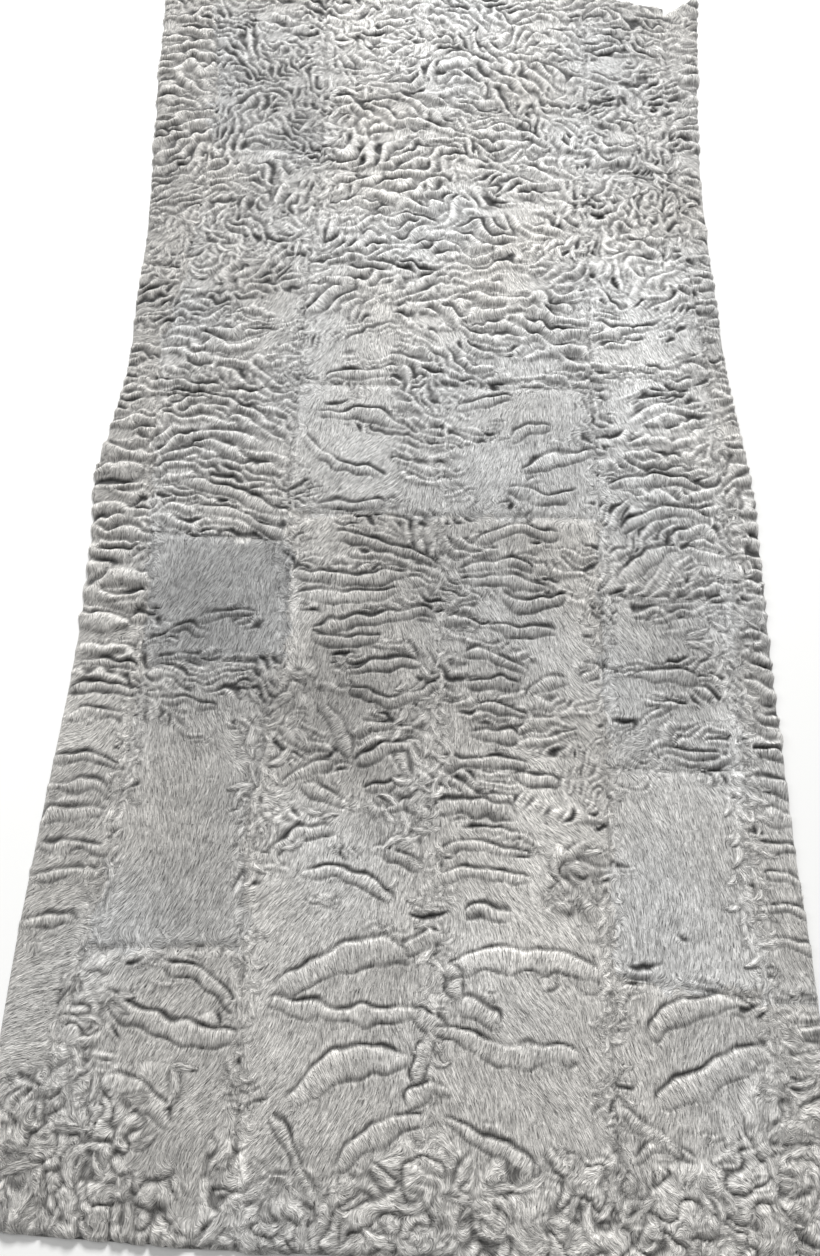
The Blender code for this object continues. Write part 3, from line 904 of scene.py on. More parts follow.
def blurred(field, step, reach):
    """A field with its detail below a given reach smoothed away."""
    waves_x = np.fft.rfftfreq(field.shape[1], step)
    waves_along = np.fft.fftfreq(field.shape[0], step)[:, None]
    kept = np.exp(-2 * np.pi**2 * ((waves_x * reach.x) ** 2 + (waves_along * reach.along) ** 2))
    return np.fft.irfft2(np.fft.rfft2(field) * kept, s=field.shape)


def hills(random, grid, kind):
    """Chance hills and hollows of one kind over a raster, with a spread of one."""
    drawn = blurred(random.standard_normal(grid.x.shape), grid.step, HILLS[kind])
    return drawn / drawn.std()


def smooth_step(low, high, value):
    """Rises smoothly from 0 at low to 1 at high."""
    t = np.clip((value - low) / (high - low), 0, 1)
    return t * t * (3 - 2 * t)


def turned(off_x, off_along, turn):
    """How far places are ahead along a line that is turned by an angle, and how far to its left."""
    ahead = off_x * math.cos(turn) + off_along * math.sin(turn)
    return ahead, off_along * math.cos(turn) - off_x * math.sin(turn)


def unit(x, along):
    """Directions across and along the plate, brought to a length of one."""
    size = np.hypot(x, along) + 1e-9
    return x / size, along / size


# The small curls


Relief = namedtuple("Relief", "height crease cover hair_x hair_along")


def zone_fields(random, grid, numbers):
    """The small curls' pitch, turn, fill, strength and wander over a raster, from each skin's own zones."""
    owners = panel_numbers(*np.array(ZONES)[:, :2].T)
    x = grid.x + ZONE_WARP * hills(random, grid, "zone borders")
    along = grid.along + ZONE_WARP * hills(random, grid, "zone borders")
    fields = np.zeros((6, *x.shape))
    for number in range(len(PANELS)):
        inside = numbers == number
        total = 0
        sums = 0
        for zone in (zone for zone, owner in zip(ZONES, owners) if owner == number):
            away = ((x[inside] - zone.x) ** 2 + (along[inside] - zone.along) ** 2) / zone.reach**2
            weight = 1 / (away + ZONE_CORE) ** 2
            turn = 2 * math.radians(zone.turn)
            turns = (math.cos(turn), math.sin(turn))
            values = (math.log(zone.pitch), zone.fill, zone.strength, zone.wander, *turns)
            sums = sums + weight * np.array(values)[:, None]
            total = total + weight
        fields[:, inside] = sums / total
    pitch, fill, strength, wander, turn_across, turn_along = fields
    return np.exp(pitch), 0.5 * np.arctan2(turn_along, turn_across), fill, strength, np.radians(wander)


def wave_filters(pitch, turn):
    """For each direction and distance of waves the share it has in each place, and what it lets through."""
    waves_x = np.fft.fftfreq(pitch.shape[1], WAVE_STEP)[None, :]
    waves_along = np.fft.fftfreq(pitch.shape[0], WAVE_STEP)[:, None]
    density = np.hypot(waves_x, waves_along)
    density[0, 0] = 1.0
    heading = np.arctan2(waves_along, waves_x)
    turn_step = math.pi / WAVE_TURNS
    pitch_step = math.log(WAVE_PITCHES[1] / WAVE_PITCHES[0])
    filters = []
    for number in range(WAVE_TURNS):
        line_turn = (number + 0.5) * turn_step - math.pi / 2
        off_turn = (turn - line_turn + math.pi / 2) % math.pi - math.pi / 2
        turn_share = np.clip(1 - np.abs(off_turn) / turn_step, 0, 1)
        off_heading = (heading - line_turn - math.pi / 2 + math.pi) % (2 * math.pi) - math.pi
        passed = np.exp(-0.5 * (off_heading / WAVE_TURN_SPREAD) ** 2)
        for wave_pitch in WAVE_PITCHES:
            share = turn_share * np.clip(1 - np.abs(np.log(pitch / wave_pitch)) / pitch_step, 0, 1)
            if share.max() > 0:
                band = np.exp(-0.5 * (np.log(density * wave_pitch) / WAVE_PITCH_SPREAD) ** 2)
                filters.append((share, passed * band))
    return filters


def wave_pattern(random, pitch, turn):
    """Waves like a fingerprint's that follow the wanted pitch and turn, as complex values whose angle rises
    by a full turn from one curl to the next, towards the far end."""
    filters = wave_filters(pitch, turn)
    pattern = random.standard_normal(pitch.shape)
    for _ in range(WAVE_ROUNDS):
        spectrum = np.fft.fft2(pattern)
        answer = np.zeros(pitch.shape, complex)
        for share, passed in filters:
            answer += share * np.fft.ifft2(spectrum * passed)
        size = np.abs(answer)
        pattern = answer.real / (size + WAVE_HOLD * size.mean())
    return answer / (size + LAST_WAVE_HOLD * size.mean())


def curl_waves(random):
    """The small curls' waves on their own raster, and the curls' pitch, fill and strength there."""
    grid = raster(WAVE_STEP)
    numbers = panel_numbers(grid.x, grid.along)
    pitch, turn, fill, strength, wander = zone_fields(random, grid, numbers)
    to_seam, _ = seam_distances(grid.x, grid.along, numbers)
    from_back = np.abs(grid.x - BACK_LINE) + BACK_OFF * smooth_step(*BACK_END, grid.along)
    crinkled = np.exp(-((np.minimum(to_seam, 2 * from_back) / CRINKLE_REACH) ** 2))
    crinkled *= smooth_step(*CRINKLED_HILLS, hills(random, grid, "crinkled parts"))
    pitch = pitch ** (1 - crinkled) * CRINKLE_PITCH**crinkled
    strength = strength * (1 - crinkled) + crinkled
    wander = wander * (1 - crinkled) + math.radians(CRINKLE_WANDER) * crinkled
    for kind, share in WANDER_SHARES.items():
        turn += wander * share * hills(random, grid, kind)
    pitch = pitch * np.exp(PITCH_SPREAD * hills(random, grid, "pitch"))
    pitch *= 1 - FAR_CLOSENESS * smooth_step(*FAR_CLOSE, grid.along)
    return wave_pattern(random, pitch, turn), pitch, fill, strength


def crease_width(along):
    """The width of a crease, which grows towards the far end."""
    share = along / PLATE_LENGTH
    return NEAR_CREASE_WIDTH * (1 - share) + FAR_CREASE_WIDTH * share


def small_curls(random, grid, numbers):
    """The small curls' relief over the raster, skin by skin."""
    waves, *fields = curl_waves(random)
    warp_x = SMALL_WARP * hills(random, grid, "small warp")
    warp_along = SMALL_WARP * hills(random, grid, "small warp")
    wavers = np.random.default_rng(SEED + 1)
    warp_along += WAVER * (WAVER_NEAR + grid.along) * hills(wavers, grid, "crinkles")
    waves = sample(waves, WAVE_STEP, grid.x + warp_x, grid.along + warp_along)
    pitch, fill, strength = (sample(field, WAVE_STEP, grid.x, grid.along) for field in fields)
    fill = np.clip(fill + FILL_SPREAD * hills(random, grid, "fill"), *FILL_BOUNDS)
    offsets = random.uniform(0, 1, len(PANELS))[numbers]
    part = (np.angle(waves) / (2 * math.pi) + offsets) % 1.0

    steady = np.where(strength > STEADY_STRENGTH, HOLD_ABOVE, HOLD_BELOW) * (strength - STEADY_STRENGTH)
    kept = BREAK_CHANCE * hills(random, grid, "breaks") + steady
    shown = smooth_step(-BREAK_SOFTNESS, BREAK_SOFTNESS, kept) * np.clip(np.abs(waves), 0, 1)
    # Painted shade in the small curls' far creases, in dashes that darken towards the far end; it also sets
    # their dip
    dashes = DASH_NEAR + DASH_FAR * grid.along / PLATE_LENGTH + DASH_SPREAD * hills(random, grid, "dashes")
    dashes = np.clip(dashes, *DASH_BOUNDS)

    crest = np.clip(part / fill, 0, 1) ** SMALL_CREST
    height = CURL_RISE * fill * pitch * (part < fill) * shown
    height *= 1 - np.abs(2 * crest - 1) ** SMALL_FLATNESS
    narrow = crease_width(grid.along) * (CREASE_LEAST + CREASE_MORE * dashes)
    from_far = np.abs((part - fill - 0.5 * narrow / pitch + 0.5) % 1.0 - 0.5) * pitch
    far_crease = np.exp(-((from_far / narrow) ** 2))
    # Painted shade at the near foot of each small curl
    foot = np.exp(-part * pitch / np.minimum(FOOT_REACH, FOOT_SHARE * pitch))
    crease = np.maximum(far_crease * dashes, NEAR_CREASE * foot) * shown
    lip_reach = np.minimum(LIP_REACH, LIP_SHARE * pitch)
    height += SMALL_LIP * np.exp(-(1 - part) * pitch / lip_reach) * shown * (part > 0.5)
    height *= 1 + FAR_GAIN * grid.along / PLATE_LENGTH

    rise_along, rise_x = np.gradient(waves)
    toward_x = np.imag(np.conj(waves) * rise_x)
    toward_along = np.imag(np.conj(waves) * rise_along)
    return Relief(height, crease, shown, *unit(-toward_x, -toward_along))


# The large curls


def large_curls(x, along, scallops):
    """The large curls' heights, creases and cover over the raster, and the way their hair lies. The places
    come in a little warped already, so that no curl's line is straight, and scallops shift near edges."""
    relief = Relief(*(np.zeros(x.shape) for _ in Relief._fields))
    for curl in LARGE_CURLS:
        reach = 0.5 * curl.length + curl.width
        window = (np.abs(x - curl.x) < reach) & (np.abs(along - curl.along) < reach)
        turn = math.radians(curl.turn)
        ahead, beside = turned(x[window] - curl.x, along[window] - curl.along, turn)
        part = ahead / (0.5 * curl.length)
        held = np.clip(np.abs(part), 0, 1)
        past = beside - curl.bow * (0.5 - part**2)
        half_width = 0.5 * (CURL_SPREAD * curl.width * np.sqrt(1 - held**4) + LEAST_WIDTH)
        near_edge = scallops[window] * (1 - held**2) - half_width
        from_near = past - near_edge
        ends = smooth_step(*CREASE_ENDS, np.abs(part))
        rise = np.clip(from_near / (half_width - near_edge), 0, 1)
        height = CURL_LIFT * curl.height * (1 - held**6)
        height *= rise**LARGE_CREST * smooth_step(1.0, LARGE_EDGE, rise)
        height += LARGE_LIP * np.exp(from_near / LIP_REACH) * (from_near < 0) * ends
        narrow = crease_width(curl.along)
        far_crease = np.exp(-(((past - half_width - CREASE_SIDE * narrow) / narrow) ** 2)) * ends
        grown = smooth_step(*LARGE_FOOT_GROWTH, curl.along)
        foot = LARGE_FOOT_REACH * (LARGE_FOOT_NEAR + (1 - LARGE_FOOT_NEAR) * grown)
        near_reach = np.where(from_near > 0, foot, CREASE_SIDE * narrow)
        near_crease = np.exp(-np.abs(from_near) / near_reach) * ends
        # Painted shade in the far crease and at the near foot of the curl, which also deepen the dip there
        crease = LARGE_SHADE * np.maximum(far_crease, LARGE_NEAR_CREASE * near_crease)
        cover = smooth_step(CURL_MARGIN, 0, np.maximum(np.abs(past) - half_width, 0))
        cover *= smooth_step(*COVER_ENDS, np.abs(part))
        line_turn = turn - np.arctan(4 * curl.bow * part / curl.length)
        higher = height > relief.height[window]
        for field, value in ((relief.hair_x, np.sin(line_turn)), (relief.hair_along, -np.cos(line_turn))):
            field[window] = np.where(higher, value, field[window])
        for field, value in ((relief.height, height), (relief.crease, crease), (relief.cover, cover)):
            field[window] = np.maximum(field[window], value)
    return relief


# The wool and the tufts


Tuft = namedtuple("Tuft", "x along turn bend length width height lightness")


def new_tuft(random, x, along, length, lean, turn_spread, lightness, rise):
    """A tuft that leans away from the way to the near end, with a chance shape."""
    length = length * random.uniform(*TUFT_LENGTH_SHARES)
    fullness = min(1.0, length / TUFT_FULL_LENGTH)
    return Tuft(
        x=x,
        along=along,
        turn=random.normal(lean - 0.5 * math.pi, turn_spread),
        bend=np.clip(random.normal(0, TUFT_BEND), -TUFT_MOST_BEND, TUFT_MOST_BEND),
        length=length,
        width=length * TUFT_WIDTH * random.uniform(*TUFT_WIDTH_SHARES),
        height=rise * TUFT_HEIGHT * random.uniform(*TUFT_HEIGHT_SHARES) * fullness,
        lightness=random.normal(lightness, TUFT_TONE),
    )


def all_tufts(random):
    """The tufts of the woolly parts, and those of the bands along the seams."""
    tufts = []
    for wool in WOOL:
        for _ in range(round(4 * wool.reach_x * wool.reach_along / wool.spacing**2)):
            off_x, off_along = random.uniform(-1, 1, 2)
            if math.hypot(off_x, off_along) < WOOL_TUFTS_REACH:
                x = wool.x + wool.reach_x * off_x
                along = wool.along + wool.reach_along * off_along
                tufts.append(new_tuft(random, x, along, wool.length, 0.0, WOOL_SPREAD, 0.0, 1.0))
    for band in BANDS:
        lean = math.radians(band.lean)
        for along in np.arange(band.near, band.far, band.spacing):
            line = BACK_LINE if band.line == "back" else across(band.line, along)
            x = line + band.side + band.width * random.uniform(-0.5, 0.5)
            along += random.uniform(-BAND_STRAY, BAND_STRAY)
            tufts.append(new_tuft(random, x, along, band.length, lean, BAND_SPREAD, BAND_LIGHT, BAND_RISE))
    return tufts


def wool_lumps(random, grid):
    """The woolly parts' cover over the raster, and the height of their round lumps and the painted shade in
    the creases between them.
    """
    cover = np.zeros(grid.x.shape)
    for wool in WOOL:
        off_x = (grid.x - wool.x) / (WOOL_REACH * wool.reach_x)
        off_along = (grid.along - wool.along) / (WOOL_REACH * wool.reach_along)
        cover = np.maximum(cover, wool.lumps * np.exp(-(off_x**4 + off_along**4)))
    cover = smooth_step(*WOOL_START, cover + WOOL_RAGGED * hills(random, grid, "wool"))
    lumps = hills(random, grid, "lumps")
    stray_x = grid.x + LUMP_STRAY * hills(random, grid, "lump stray")
    stray_along = grid.along + LUMP_STRAY * hills(random, grid, "lump stray")
    lumps = np.abs(sample(lumps, grid.step, stray_x, stray_along))
    # Painted shade in the creases between the lumps
    crease = np.exp(-((lumps / LUMP_CREASE) ** 2))
    return cover, LUMP_HEIGHT * np.tanh(LUMP_STEEPNESS * lumps), LUMP_SHADE * crease


def raster_span(low, high, start, count):
    """The raster's columns or rows between two places, as a slice, and their points' places."""
    first = max(0, int((low - start) / RASTER_STEP))
    last = min(count, int((high - start) / RASTER_STEP))
    return slice(first, last), start + RASTER_STEP * np.arange(first, last)


def add_tufts(random, relief, tone):
    """Lays every tuft over the relief so far, each over those before it, and changes the tone under it."""
    cover = np.zeros(tone.shape)
    for tuft in all_tufts(random):
        reach = tuft.length + tuft.width
        rows, along = raster_span(tuft.along - reach, tuft.along + reach, RASTER_NEAR, tone.shape[0])
        columns, x = raster_span(tuft.x - reach, tuft.x + reach, RASTER_LEFT, tone.shape[1])
        window = (rows, columns)
        ahead, beside = turned(x[None, :] - tuft.x, along[:, None] - tuft.along, tuft.turn)
        bend = abs(tuft.bend) + TUFT_LEAST_BEND
        way = 1 if tuft.bend > 0 else -1
        radius = tuft.length / bend
        angle = np.arctan2(ahead, radius - way * beside)
        aside = np.abs(radius - np.hypot(ahead, radius - way * beside))
        part = angle / bend
        held = np.clip(part, 0, 1)
        half = 0.5 * tuft.width * np.sin(math.pi * held**TUFT_BELLY) ** TUFT_FULLNESS + LEAST_WIDTH
        body = np.clip(1 - (aside / half) ** 2, 0, 1) ** TUFT_BACK
        rise = tuft.height * body * (TUFT_ROOT + (1 - TUFT_ROOT) * held)
        inside = (part > 0) & (part < 1) & (aside < half)
        laid = inside & (rise > TUFT_OVER * relief.height[window])
        # A painted shadow in the crease around the tuft's tip, which also dips the fur there
        tip_crease = np.exp(-(((aside - half) / TUFT_SHADOW) ** 2))
        tip_crease *= (part > TUFT_TIP_CREASE_START) & (part < 1)
        crease = np.maximum(relief.crease[window], TUFT_TIP_CREASE * tip_crease * tuft.height / TUFT_HEIGHT)
        relief.crease[window] = np.where(laid, relief.crease[window] * (1 - body) ** 2, crease)
        heading = tuft.turn + way * angle
        for field, value in (
            (relief.height, rise),
            (relief.hair_x, np.cos(heading)),
            (relief.hair_along, np.sin(heading)),
            (tone, 1 + tuft.lightness),
            (cover, 1.0),
        ):
            field[window] = np.where(laid, value, field[window])
    return cover


# The fur: its height, the way its hair lies, its creases and tones


Fur = namedtuple("Fur", "height hair_x hair_along crease tone warmth rise")


def smeared(noise, relief, reach):
    """Smears noise along the hair, which makes strokes of about twice that reach."""
    starts = np.indices(noise.shape)
    total = noise.copy()
    for way in (1, -1):
        row, column = starts.astype(float)
        cell = tuple(starts)
        for _ in range(round(reach / RASTER_STEP)):
            row += way * relief.hair_along[cell]
            column += way * relief.hair_x[cell]
            at_row = np.clip(np.rint(row).astype(int), 0, noise.shape[0] - 1)
            at_column = np.clip(np.rint(column).astype(int), 0, noise.shape[1] - 1)
            cell = (at_row, at_column)
            total += noise[cell]
    total -= total.mean()
    return total / total.std()


def lying_turn(random, grid, numbers, to_seam):
    """The angle of the hair between the curls, which lies to the near end, away from the back line."""
    side = np.tanh((grid.x - BACK_LINE) / BACK_SPREAD_REACH)
    turn = math.radians(BACK_SPREAD) * side - 0.5 * math.pi
    turn += random.uniform(-SKIN_TURN, SKIN_TURN, len(PANELS))[numbers]
    turn += WIDE_TURN * hills(random, grid, "wide turn")
    turn += SHORT_TURN * hills(random, grid, "short turn")
    turn += FLARE_TURN * np.exp(-((to_seam / FLARE_REACH) ** 2)) * hills(random, grid, "flare")
    for whorl in WHORLS:
        away = ((grid.x - whorl.x) ** 2 + (grid.along - whorl.along) ** 2) / whorl.reach**2
        turn += math.radians(whorl.turn) * np.exp(-away)
    return turn


def curly_relief(random, grid, numbers, to_seam):
    """The relief of all curls, lumps and tufts, how woolly the fur is, and the tufts' tones."""
    small = small_curls(random, grid, numbers)
    warps = []
    for _ in range(2):
        warp = WIDE_WARP * hills(random, grid, "wide warp")
        warps.append(warp + SHORT_WARP * hills(random, grid, "short warp"))
    scallops = CURL_SCALLOP * hills(random, grid, "scallops")
    large = large_curls(grid.x + warps[0], grid.along + warps[1], scallops)
    clear = 1 - large.cover
    height = np.maximum(large.height, small.height * clear)
    crease = np.maximum(large.crease, small.crease * clear)
    # The creases' painted shade, and their dip, made uneven
    crease *= np.clip(1 + CREASE_SPREAD * hills(random, grid, "creases"), *CREASE_BOUNDS)

    woolly, lumps, between = wool_lumps(random, grid)
    height = height * (1 - woolly) + woolly * (lumps + CURLS_IN_WOOL * height)
    crease = crease * (1 - woolly) + woolly * np.maximum(between, CURLS_IN_WOOL * crease)

    turn = lying_turn(random, grid, numbers, to_seam)
    turn += woolly * LUMP_TURN * hills(random, grid, "lump turn")
    on_small = np.clip(small.cover * clear, 0, 1) * HAIR_ON_CURLS * (1 - HAIR_IN_WOOL * woolly)
    on_large = np.clip(large.height / HAIR_ON_LARGE, 0, 1)
    hair_x = np.cos(turn)
    hair_along = np.sin(turn)
    for curls, share in ((small, on_small), (large, on_large)):
        hair_x = hair_x * (1 - share) + curls.hair_x * share
        hair_along = hair_along * (1 - share) + curls.hair_along * share
    relief = Relief(height, crease, large.cover, *unit(hair_x, hair_along))
    tuft_tone = np.ones(grid.x.shape)
    in_tufts = add_tufts(random, relief, tuft_tone)
    return relief, np.maximum(in_tufts, woolly), tuft_tone


def make_fur():
    """The whole plate's fur on the raster."""
    random = np.random.default_rng(SEED)
    grid = raster(RASTER_STEP)
    numbers = panel_numbers(grid.x, grid.along)
    to_seam, _ = seam_distances(grid.x, grid.along, numbers)
    relief, woolly, tuft_tone = curly_relief(random, grid, numbers, to_seam)

    fine = smeared(random.standard_normal(grid.x.shape), relief, FINE_LENGTH)
    clumps = smeared(hills(random, grid, "clumps"), relief, CLUMP_LENGTH)
    height = LEATHER + LYING_HAIR + SWELL * hills(random, grid, "swell") + relief.height
    height -= CREASE_DEPTH * relief.crease
    height -= SEAM_DIP * np.exp(-((to_seam / SEAM_REACH) ** 2))
    slope = np.gradient(height, RASTER_STEP, axis=0)
    crest = height - blurred(height, RASTER_STEP, CREST_REACH)
    height += FINE_RISE * fine + CLUMP_RISE * clumps * (1 + woolly)

    mottle = hills(random, grid, "mottle")
    stray_x = grid.x + TONE_STRAY * hills(random, grid, "tone stray")
    stray_along = grid.along + TONE_STRAY * hills(random, grid, "tone stray")
    owners = panel_numbers(stray_x, stray_along)
    varied = 1 + MOTTLE_TONE * mottle + GRAIN_TONE * hills(random, grid, "grain")
    varied += FINE_TONE * fine + (CLUMP_TONE + WOOL_TONE * woolly) * clumps
    tone = np.array([panel.lightness for panel in PANELS])[owners] * varied * tuft_tone
    # Painted shade on slopes that face the near end and a painted highlight on crests, stronger towards the
    # far end
    crest_light = CREST_LIGHT * (1 + FAR_CREST_LIGHT * grid.along / PLATE_LENGTH)
    tone *= 1 - SLOPE_SHADE * np.tanh(SLOPE_GAIN * slope) + crest_light * np.tanh(crest / CREST_SIZE)
    tone = np.minimum(tone, TONE_KNEE) + TONE_ROOM * np.tanh(np.maximum(tone - TONE_KNEE, 0) / TONE_ROOM)
    # Lighter and darker patches: partly the fur's own tone, partly a painted highlight over the far end and
    # painted shade at the left rim and in a fold
    for patch in PATCHES:
        off_x = (grid.x - patch.x) / patch.reach_x
        off_along = (grid.along - patch.along) / patch.reach_along
        tone *= 1 + (patch.lightness - 1) * np.exp(-((off_x**2 + off_along**2) ** PATCH_FIRMNESS))
    seam_light = SEAM_LIGHT * np.exp(-((to_seam / SEAM_LIGHT_REACH) ** 2))
    tone *= 1 + seam_light * (SEAM_LIGHT_EVEN + SEAM_LIGHT_UNEVEN * hills(random, grid, "seam hair"))
    warmth = np.array([panel.warmth for panel in PANELS])[owners]
    warmth = warmth + WARMTH_SPREAD * hills(random, grid, "warmth")
    # The creases' painted shade, which the material reads; the same field deepens the relief above
    crease = np.clip(relief.crease, 0, 1)
    return Fur(height, relief.hair_x, relief.hair_along, crease, tone, warmth, relief.height)


# Meshes


def panel_plan(panel):
    """The points of one skin in plan, row by row from its near seam to its far seam."""
    step = NEAR_STEP + (FAR_STEP - NEAR_STEP) * 0.5 * (panel.near + panel.far) / PLATE_LENGTH
    width = across(panel.column.right, panel.near) - across(panel.column.left, panel.near)
    part = np.linspace(0, 1, round((panel.far - panel.near) / step) + 1)[:, None]
    share = np.linspace(0, 1, round(width / STEP_ACROSS) + 1)[None, :]
    middle = (panel.near + SEAM_GAP / 2) * (1 - part) + (panel.far - SEAM_GAP / 2) * part
    slope = panel.near_slope * (1 - part) + panel.far_slope * part
    along = np.repeat(middle, share.size, axis=1)
    for _ in range(PLAN_ROUNDS):
        left = across(panel.column.left, along) + SEAM_GAP / 2
        right = across(panel.column.right, along) - SEAM_GAP / 2
        x = left + share * (right - left)
        along = middle + slope * (x - column_middle(panel.column, middle))
    return x, along


def plate_middle(plans):
    """The middle of the plate's outline, which is over the origin."""
    x = np.concatenate([plan[0].ravel() for plan in plans])
    along = np.concatenate([plan[1].ravel() for plan in plans])
    return 0.5 * (x.min() + x.max()), 0.5 * (along.min() + along.max())


def add_object(name, data):
    """A new object in the scene."""
    made = bpy.data.objects.new(name, data)
    bpy.context.scene.collection.objects.link(made)
    return made


def new_mesh(name, points, faces):
    """A mesh from its points and from arrays of faces, each array with its own number of corners."""
    corners = np.concatenate([part.ravel() for part in faces]).astype(np.int32)
    totals = np.concatenate([np.full(len(part), part.shape[1]) for part in faces]).astype(np.int32)
    starts = np.concatenate([[0], np.cumsum(totals)[:-1]]).astype(np.int32)
    mesh = bpy.data.meshes.new(name)
    mesh.vertices.add(len(points))
    mesh.vertices.foreach_set("co", points.astype(np.float32).ravel())
    mesh.loops.add(len(corners))
    mesh.loops.foreach_set("vertex_index", corners)
    mesh.polygons.add(len(totals))
    mesh.polygons.foreach_set("loop_start", starts)
    mesh.polygons.foreach_set("loop_total", totals)
    mesh.update(calc_edges=True)
    mesh.validate()
    return mesh


def add_values(mesh, name, values):
    """Gives a mesh one number or one vector a point, under a name that its material reads."""
    kind, key = ("FLOAT", "value") if values.ndim == 1 else ("FLOAT_VECTOR", "vector")
    attribute = mesh.attributes.new(name, kind, "POINT")
    attribute.data.foreach_set(key, values.astype(np.float32).ravel())


def strips(first, second):
    """Quads between two lines of points, or between each two lines of two sets, from the near end on."""
    return np.stack([first[:-1], second[:-1], second[1:], first[1:]], axis=-1).reshape(-1, 4)


def skin_top(panel, x, along, to_edge, values):
    """The points of a skin's fur. It rolls down at the plate's rim and bulges out where curls end there."""
    rolled = np.sqrt(1 - (1 - np.clip(to_edge / RIM, 0, 1)) ** 2)
    height = RIM_HEIGHT + (values.height - RIM_HEIGHT) * rolled
    near_gap, far_gap = seam_gaps(panel, x, along)
    gaps = (x - across("left_edge", along), across("right_edge", along) - x, near_gap, far_gap)
    left, right, near, far = (
        BULGE * values.rise * np.clip(1 - gap / BULGE_REACH, 0, 1) ** 2 for gap in gaps
    )
    return np.stack([x + right - left, along + panel.last * far - panel.first * near, height], axis=-1)


def build_skin(number, plan, middle, fur, materials):
    """One skin as a closed mesh: its fur top, its walls and its flat underside."""
    panel = PANELS[number]
    x, along = plan
    values = Fur(*(sample(field, RASTER_STEP, x, along) for field in fur))
    _, to_edge = seam_distances(x, along, np.full(x.shape, number))
    top = skin_top(panel, x, along, to_edge, values) - (*middle, 0)
    feet = [top[:, side] * (1, 1, 0) for side in (0, -1)]
    points = np.concatenate([top.reshape(-1, 3), *feet])

    index = np.arange(x.size).reshape(x.shape)
    left, right = x.size + np.arange(2 * len(x)).reshape(2, -1)
    above = [strips(index[:, :-1], index[:, 1:]), strips(left, index[:, 0]), strips(index[:, -1], right)]
    under = strips(right, left)
    near_wall = np.concatenate([[left[0], right[0]], index[0, ::-1]])[None, :]
    far_wall = np.concatenate([[right[-1], left[-1]], index[-1]])[None, :]
    mesh = new_mesh(panel.name, points, [*above, under, near_wall, far_wall])
    mesh.shade_smooth()
    mesh.set_sharp_from_angle(angle=math.radians(SHARP_EDGE))

    for name, at_foot in FOOT_VALUES.items():
        foot = np.full(2 * len(x), at_foot)
        add_values(mesh, name, np.concatenate([getattr(values, name).ravel(), foot]))
    hair = np.stack([values.hair_x, values.hair_along, np.zeros(x.shape)], axis=-1).reshape(-1, 3)
    add_values(mesh, "hair", np.concatenate([hair, np.tile((0, -1, 0), (2 * len(x), 1))]))
    for material in materials:
        mesh.materials.append(material)
    material_numbers = np.zeros(len(mesh.polygons), np.int32)
    first_under = sum(len(part) for part in above)
    material_numbers[first_under : first_under + len(under)] = 1
    mesh.polygons.foreach_set("material_index", material_numbers)
    mesh.update()
    return add_object(f"fur_{panel.name}", mesh)


# Materials


def new_material(name, surface):
    """A material whose shader has the given values, and its shader and node tree."""
    material = bpy.data.materials.new(name)
    material.use_nodes = True
    shader = material.node_tree.nodes["Principled BSDF"]
    for socket, value in surface.items():
        shader.inputs[socket].default_value = value
    return material, shader, material.node_tree


def node(tree, kind, inputs, **settings):
    """A new node of a kind, with some of its settings, and with values or other sockets for its inputs."""
    made = tree.nodes.new(kind)
    for name, value in settings.items():
        setattr(made, name, value)
    for name, value in inputs.items():
        if isinstance(value, bpy.types.NodeSocket):
            tree.links.new(value, made.inputs[name])
        else:
            made.inputs[name].default_value = value
    return made


def maths(tree, operation, first, second):
    """A sum, product or the like of two sockets or numbers."""
    return node(tree, "ShaderNodeMath", {0: first, 1: second}, operation=operation).outputs[0]


def vector_maths(tree, operation, inputs, output="Vector"):
    """A sum, product or the like of vectors."""
    return node(tree, "ShaderNodeVectorMath", inputs, operation=operation).outputs[output]


def object_place(tree):
    """The place of a point in its object's own coordinates."""
    return node(tree, "ShaderNodeTexCoord", {}).outputs["Object"]


def add_bump(tree, shader, height, distance):
    """Lets a height show in a shader as fine relief."""
    bump = node(tree, "ShaderNodeBump", {"Strength": 1.0, "Distance": distance, "Height": height})
    tree.links.new(bump.outputs["Normal"], shader.inputs["Normal"])


def strokes(tree, hair, side, stroke):
    """Strokes of hair: noise stretched along the hair within small cells, so that it can turn with it."""
    place = vector_maths(tree, "ADD", {0: object_place(tree), 1: stroke.place})
    cells = node(tree, "ShaderNodeTexVoronoi", {"Vector": place, "Scale": 1 / stroke.cell})
    local = vector_maths(tree, "SUBTRACT", {0: place, 1: cells.outputs["Position"]})
    parts = {}
    for number, (direction, size) in enumerate(((side, stroke.width), (hair, stroke.length))):
        reach = vector_maths(tree, "DOT_PRODUCT", {0: local, 1: direction}, "Value")
        parts[number] = maths(tree, "DIVIDE", reach, size)
    stretched = node(tree, "ShaderNodeCombineXYZ", parts).outputs[0]
    apart = vector_maths(tree, "SCALE", {0: cells.outputs["Color"], "Scale": CELLS_APART})
    total = vector_maths(tree, "ADD", {0: stretched, 1: apart})
    inputs = {"Vector": total, "Scale": 1.0, "Detail": 2.0, "Roughness": 0.6}
    return node(tree, "ShaderNodeTexNoise", inputs).outputs["Fac"]


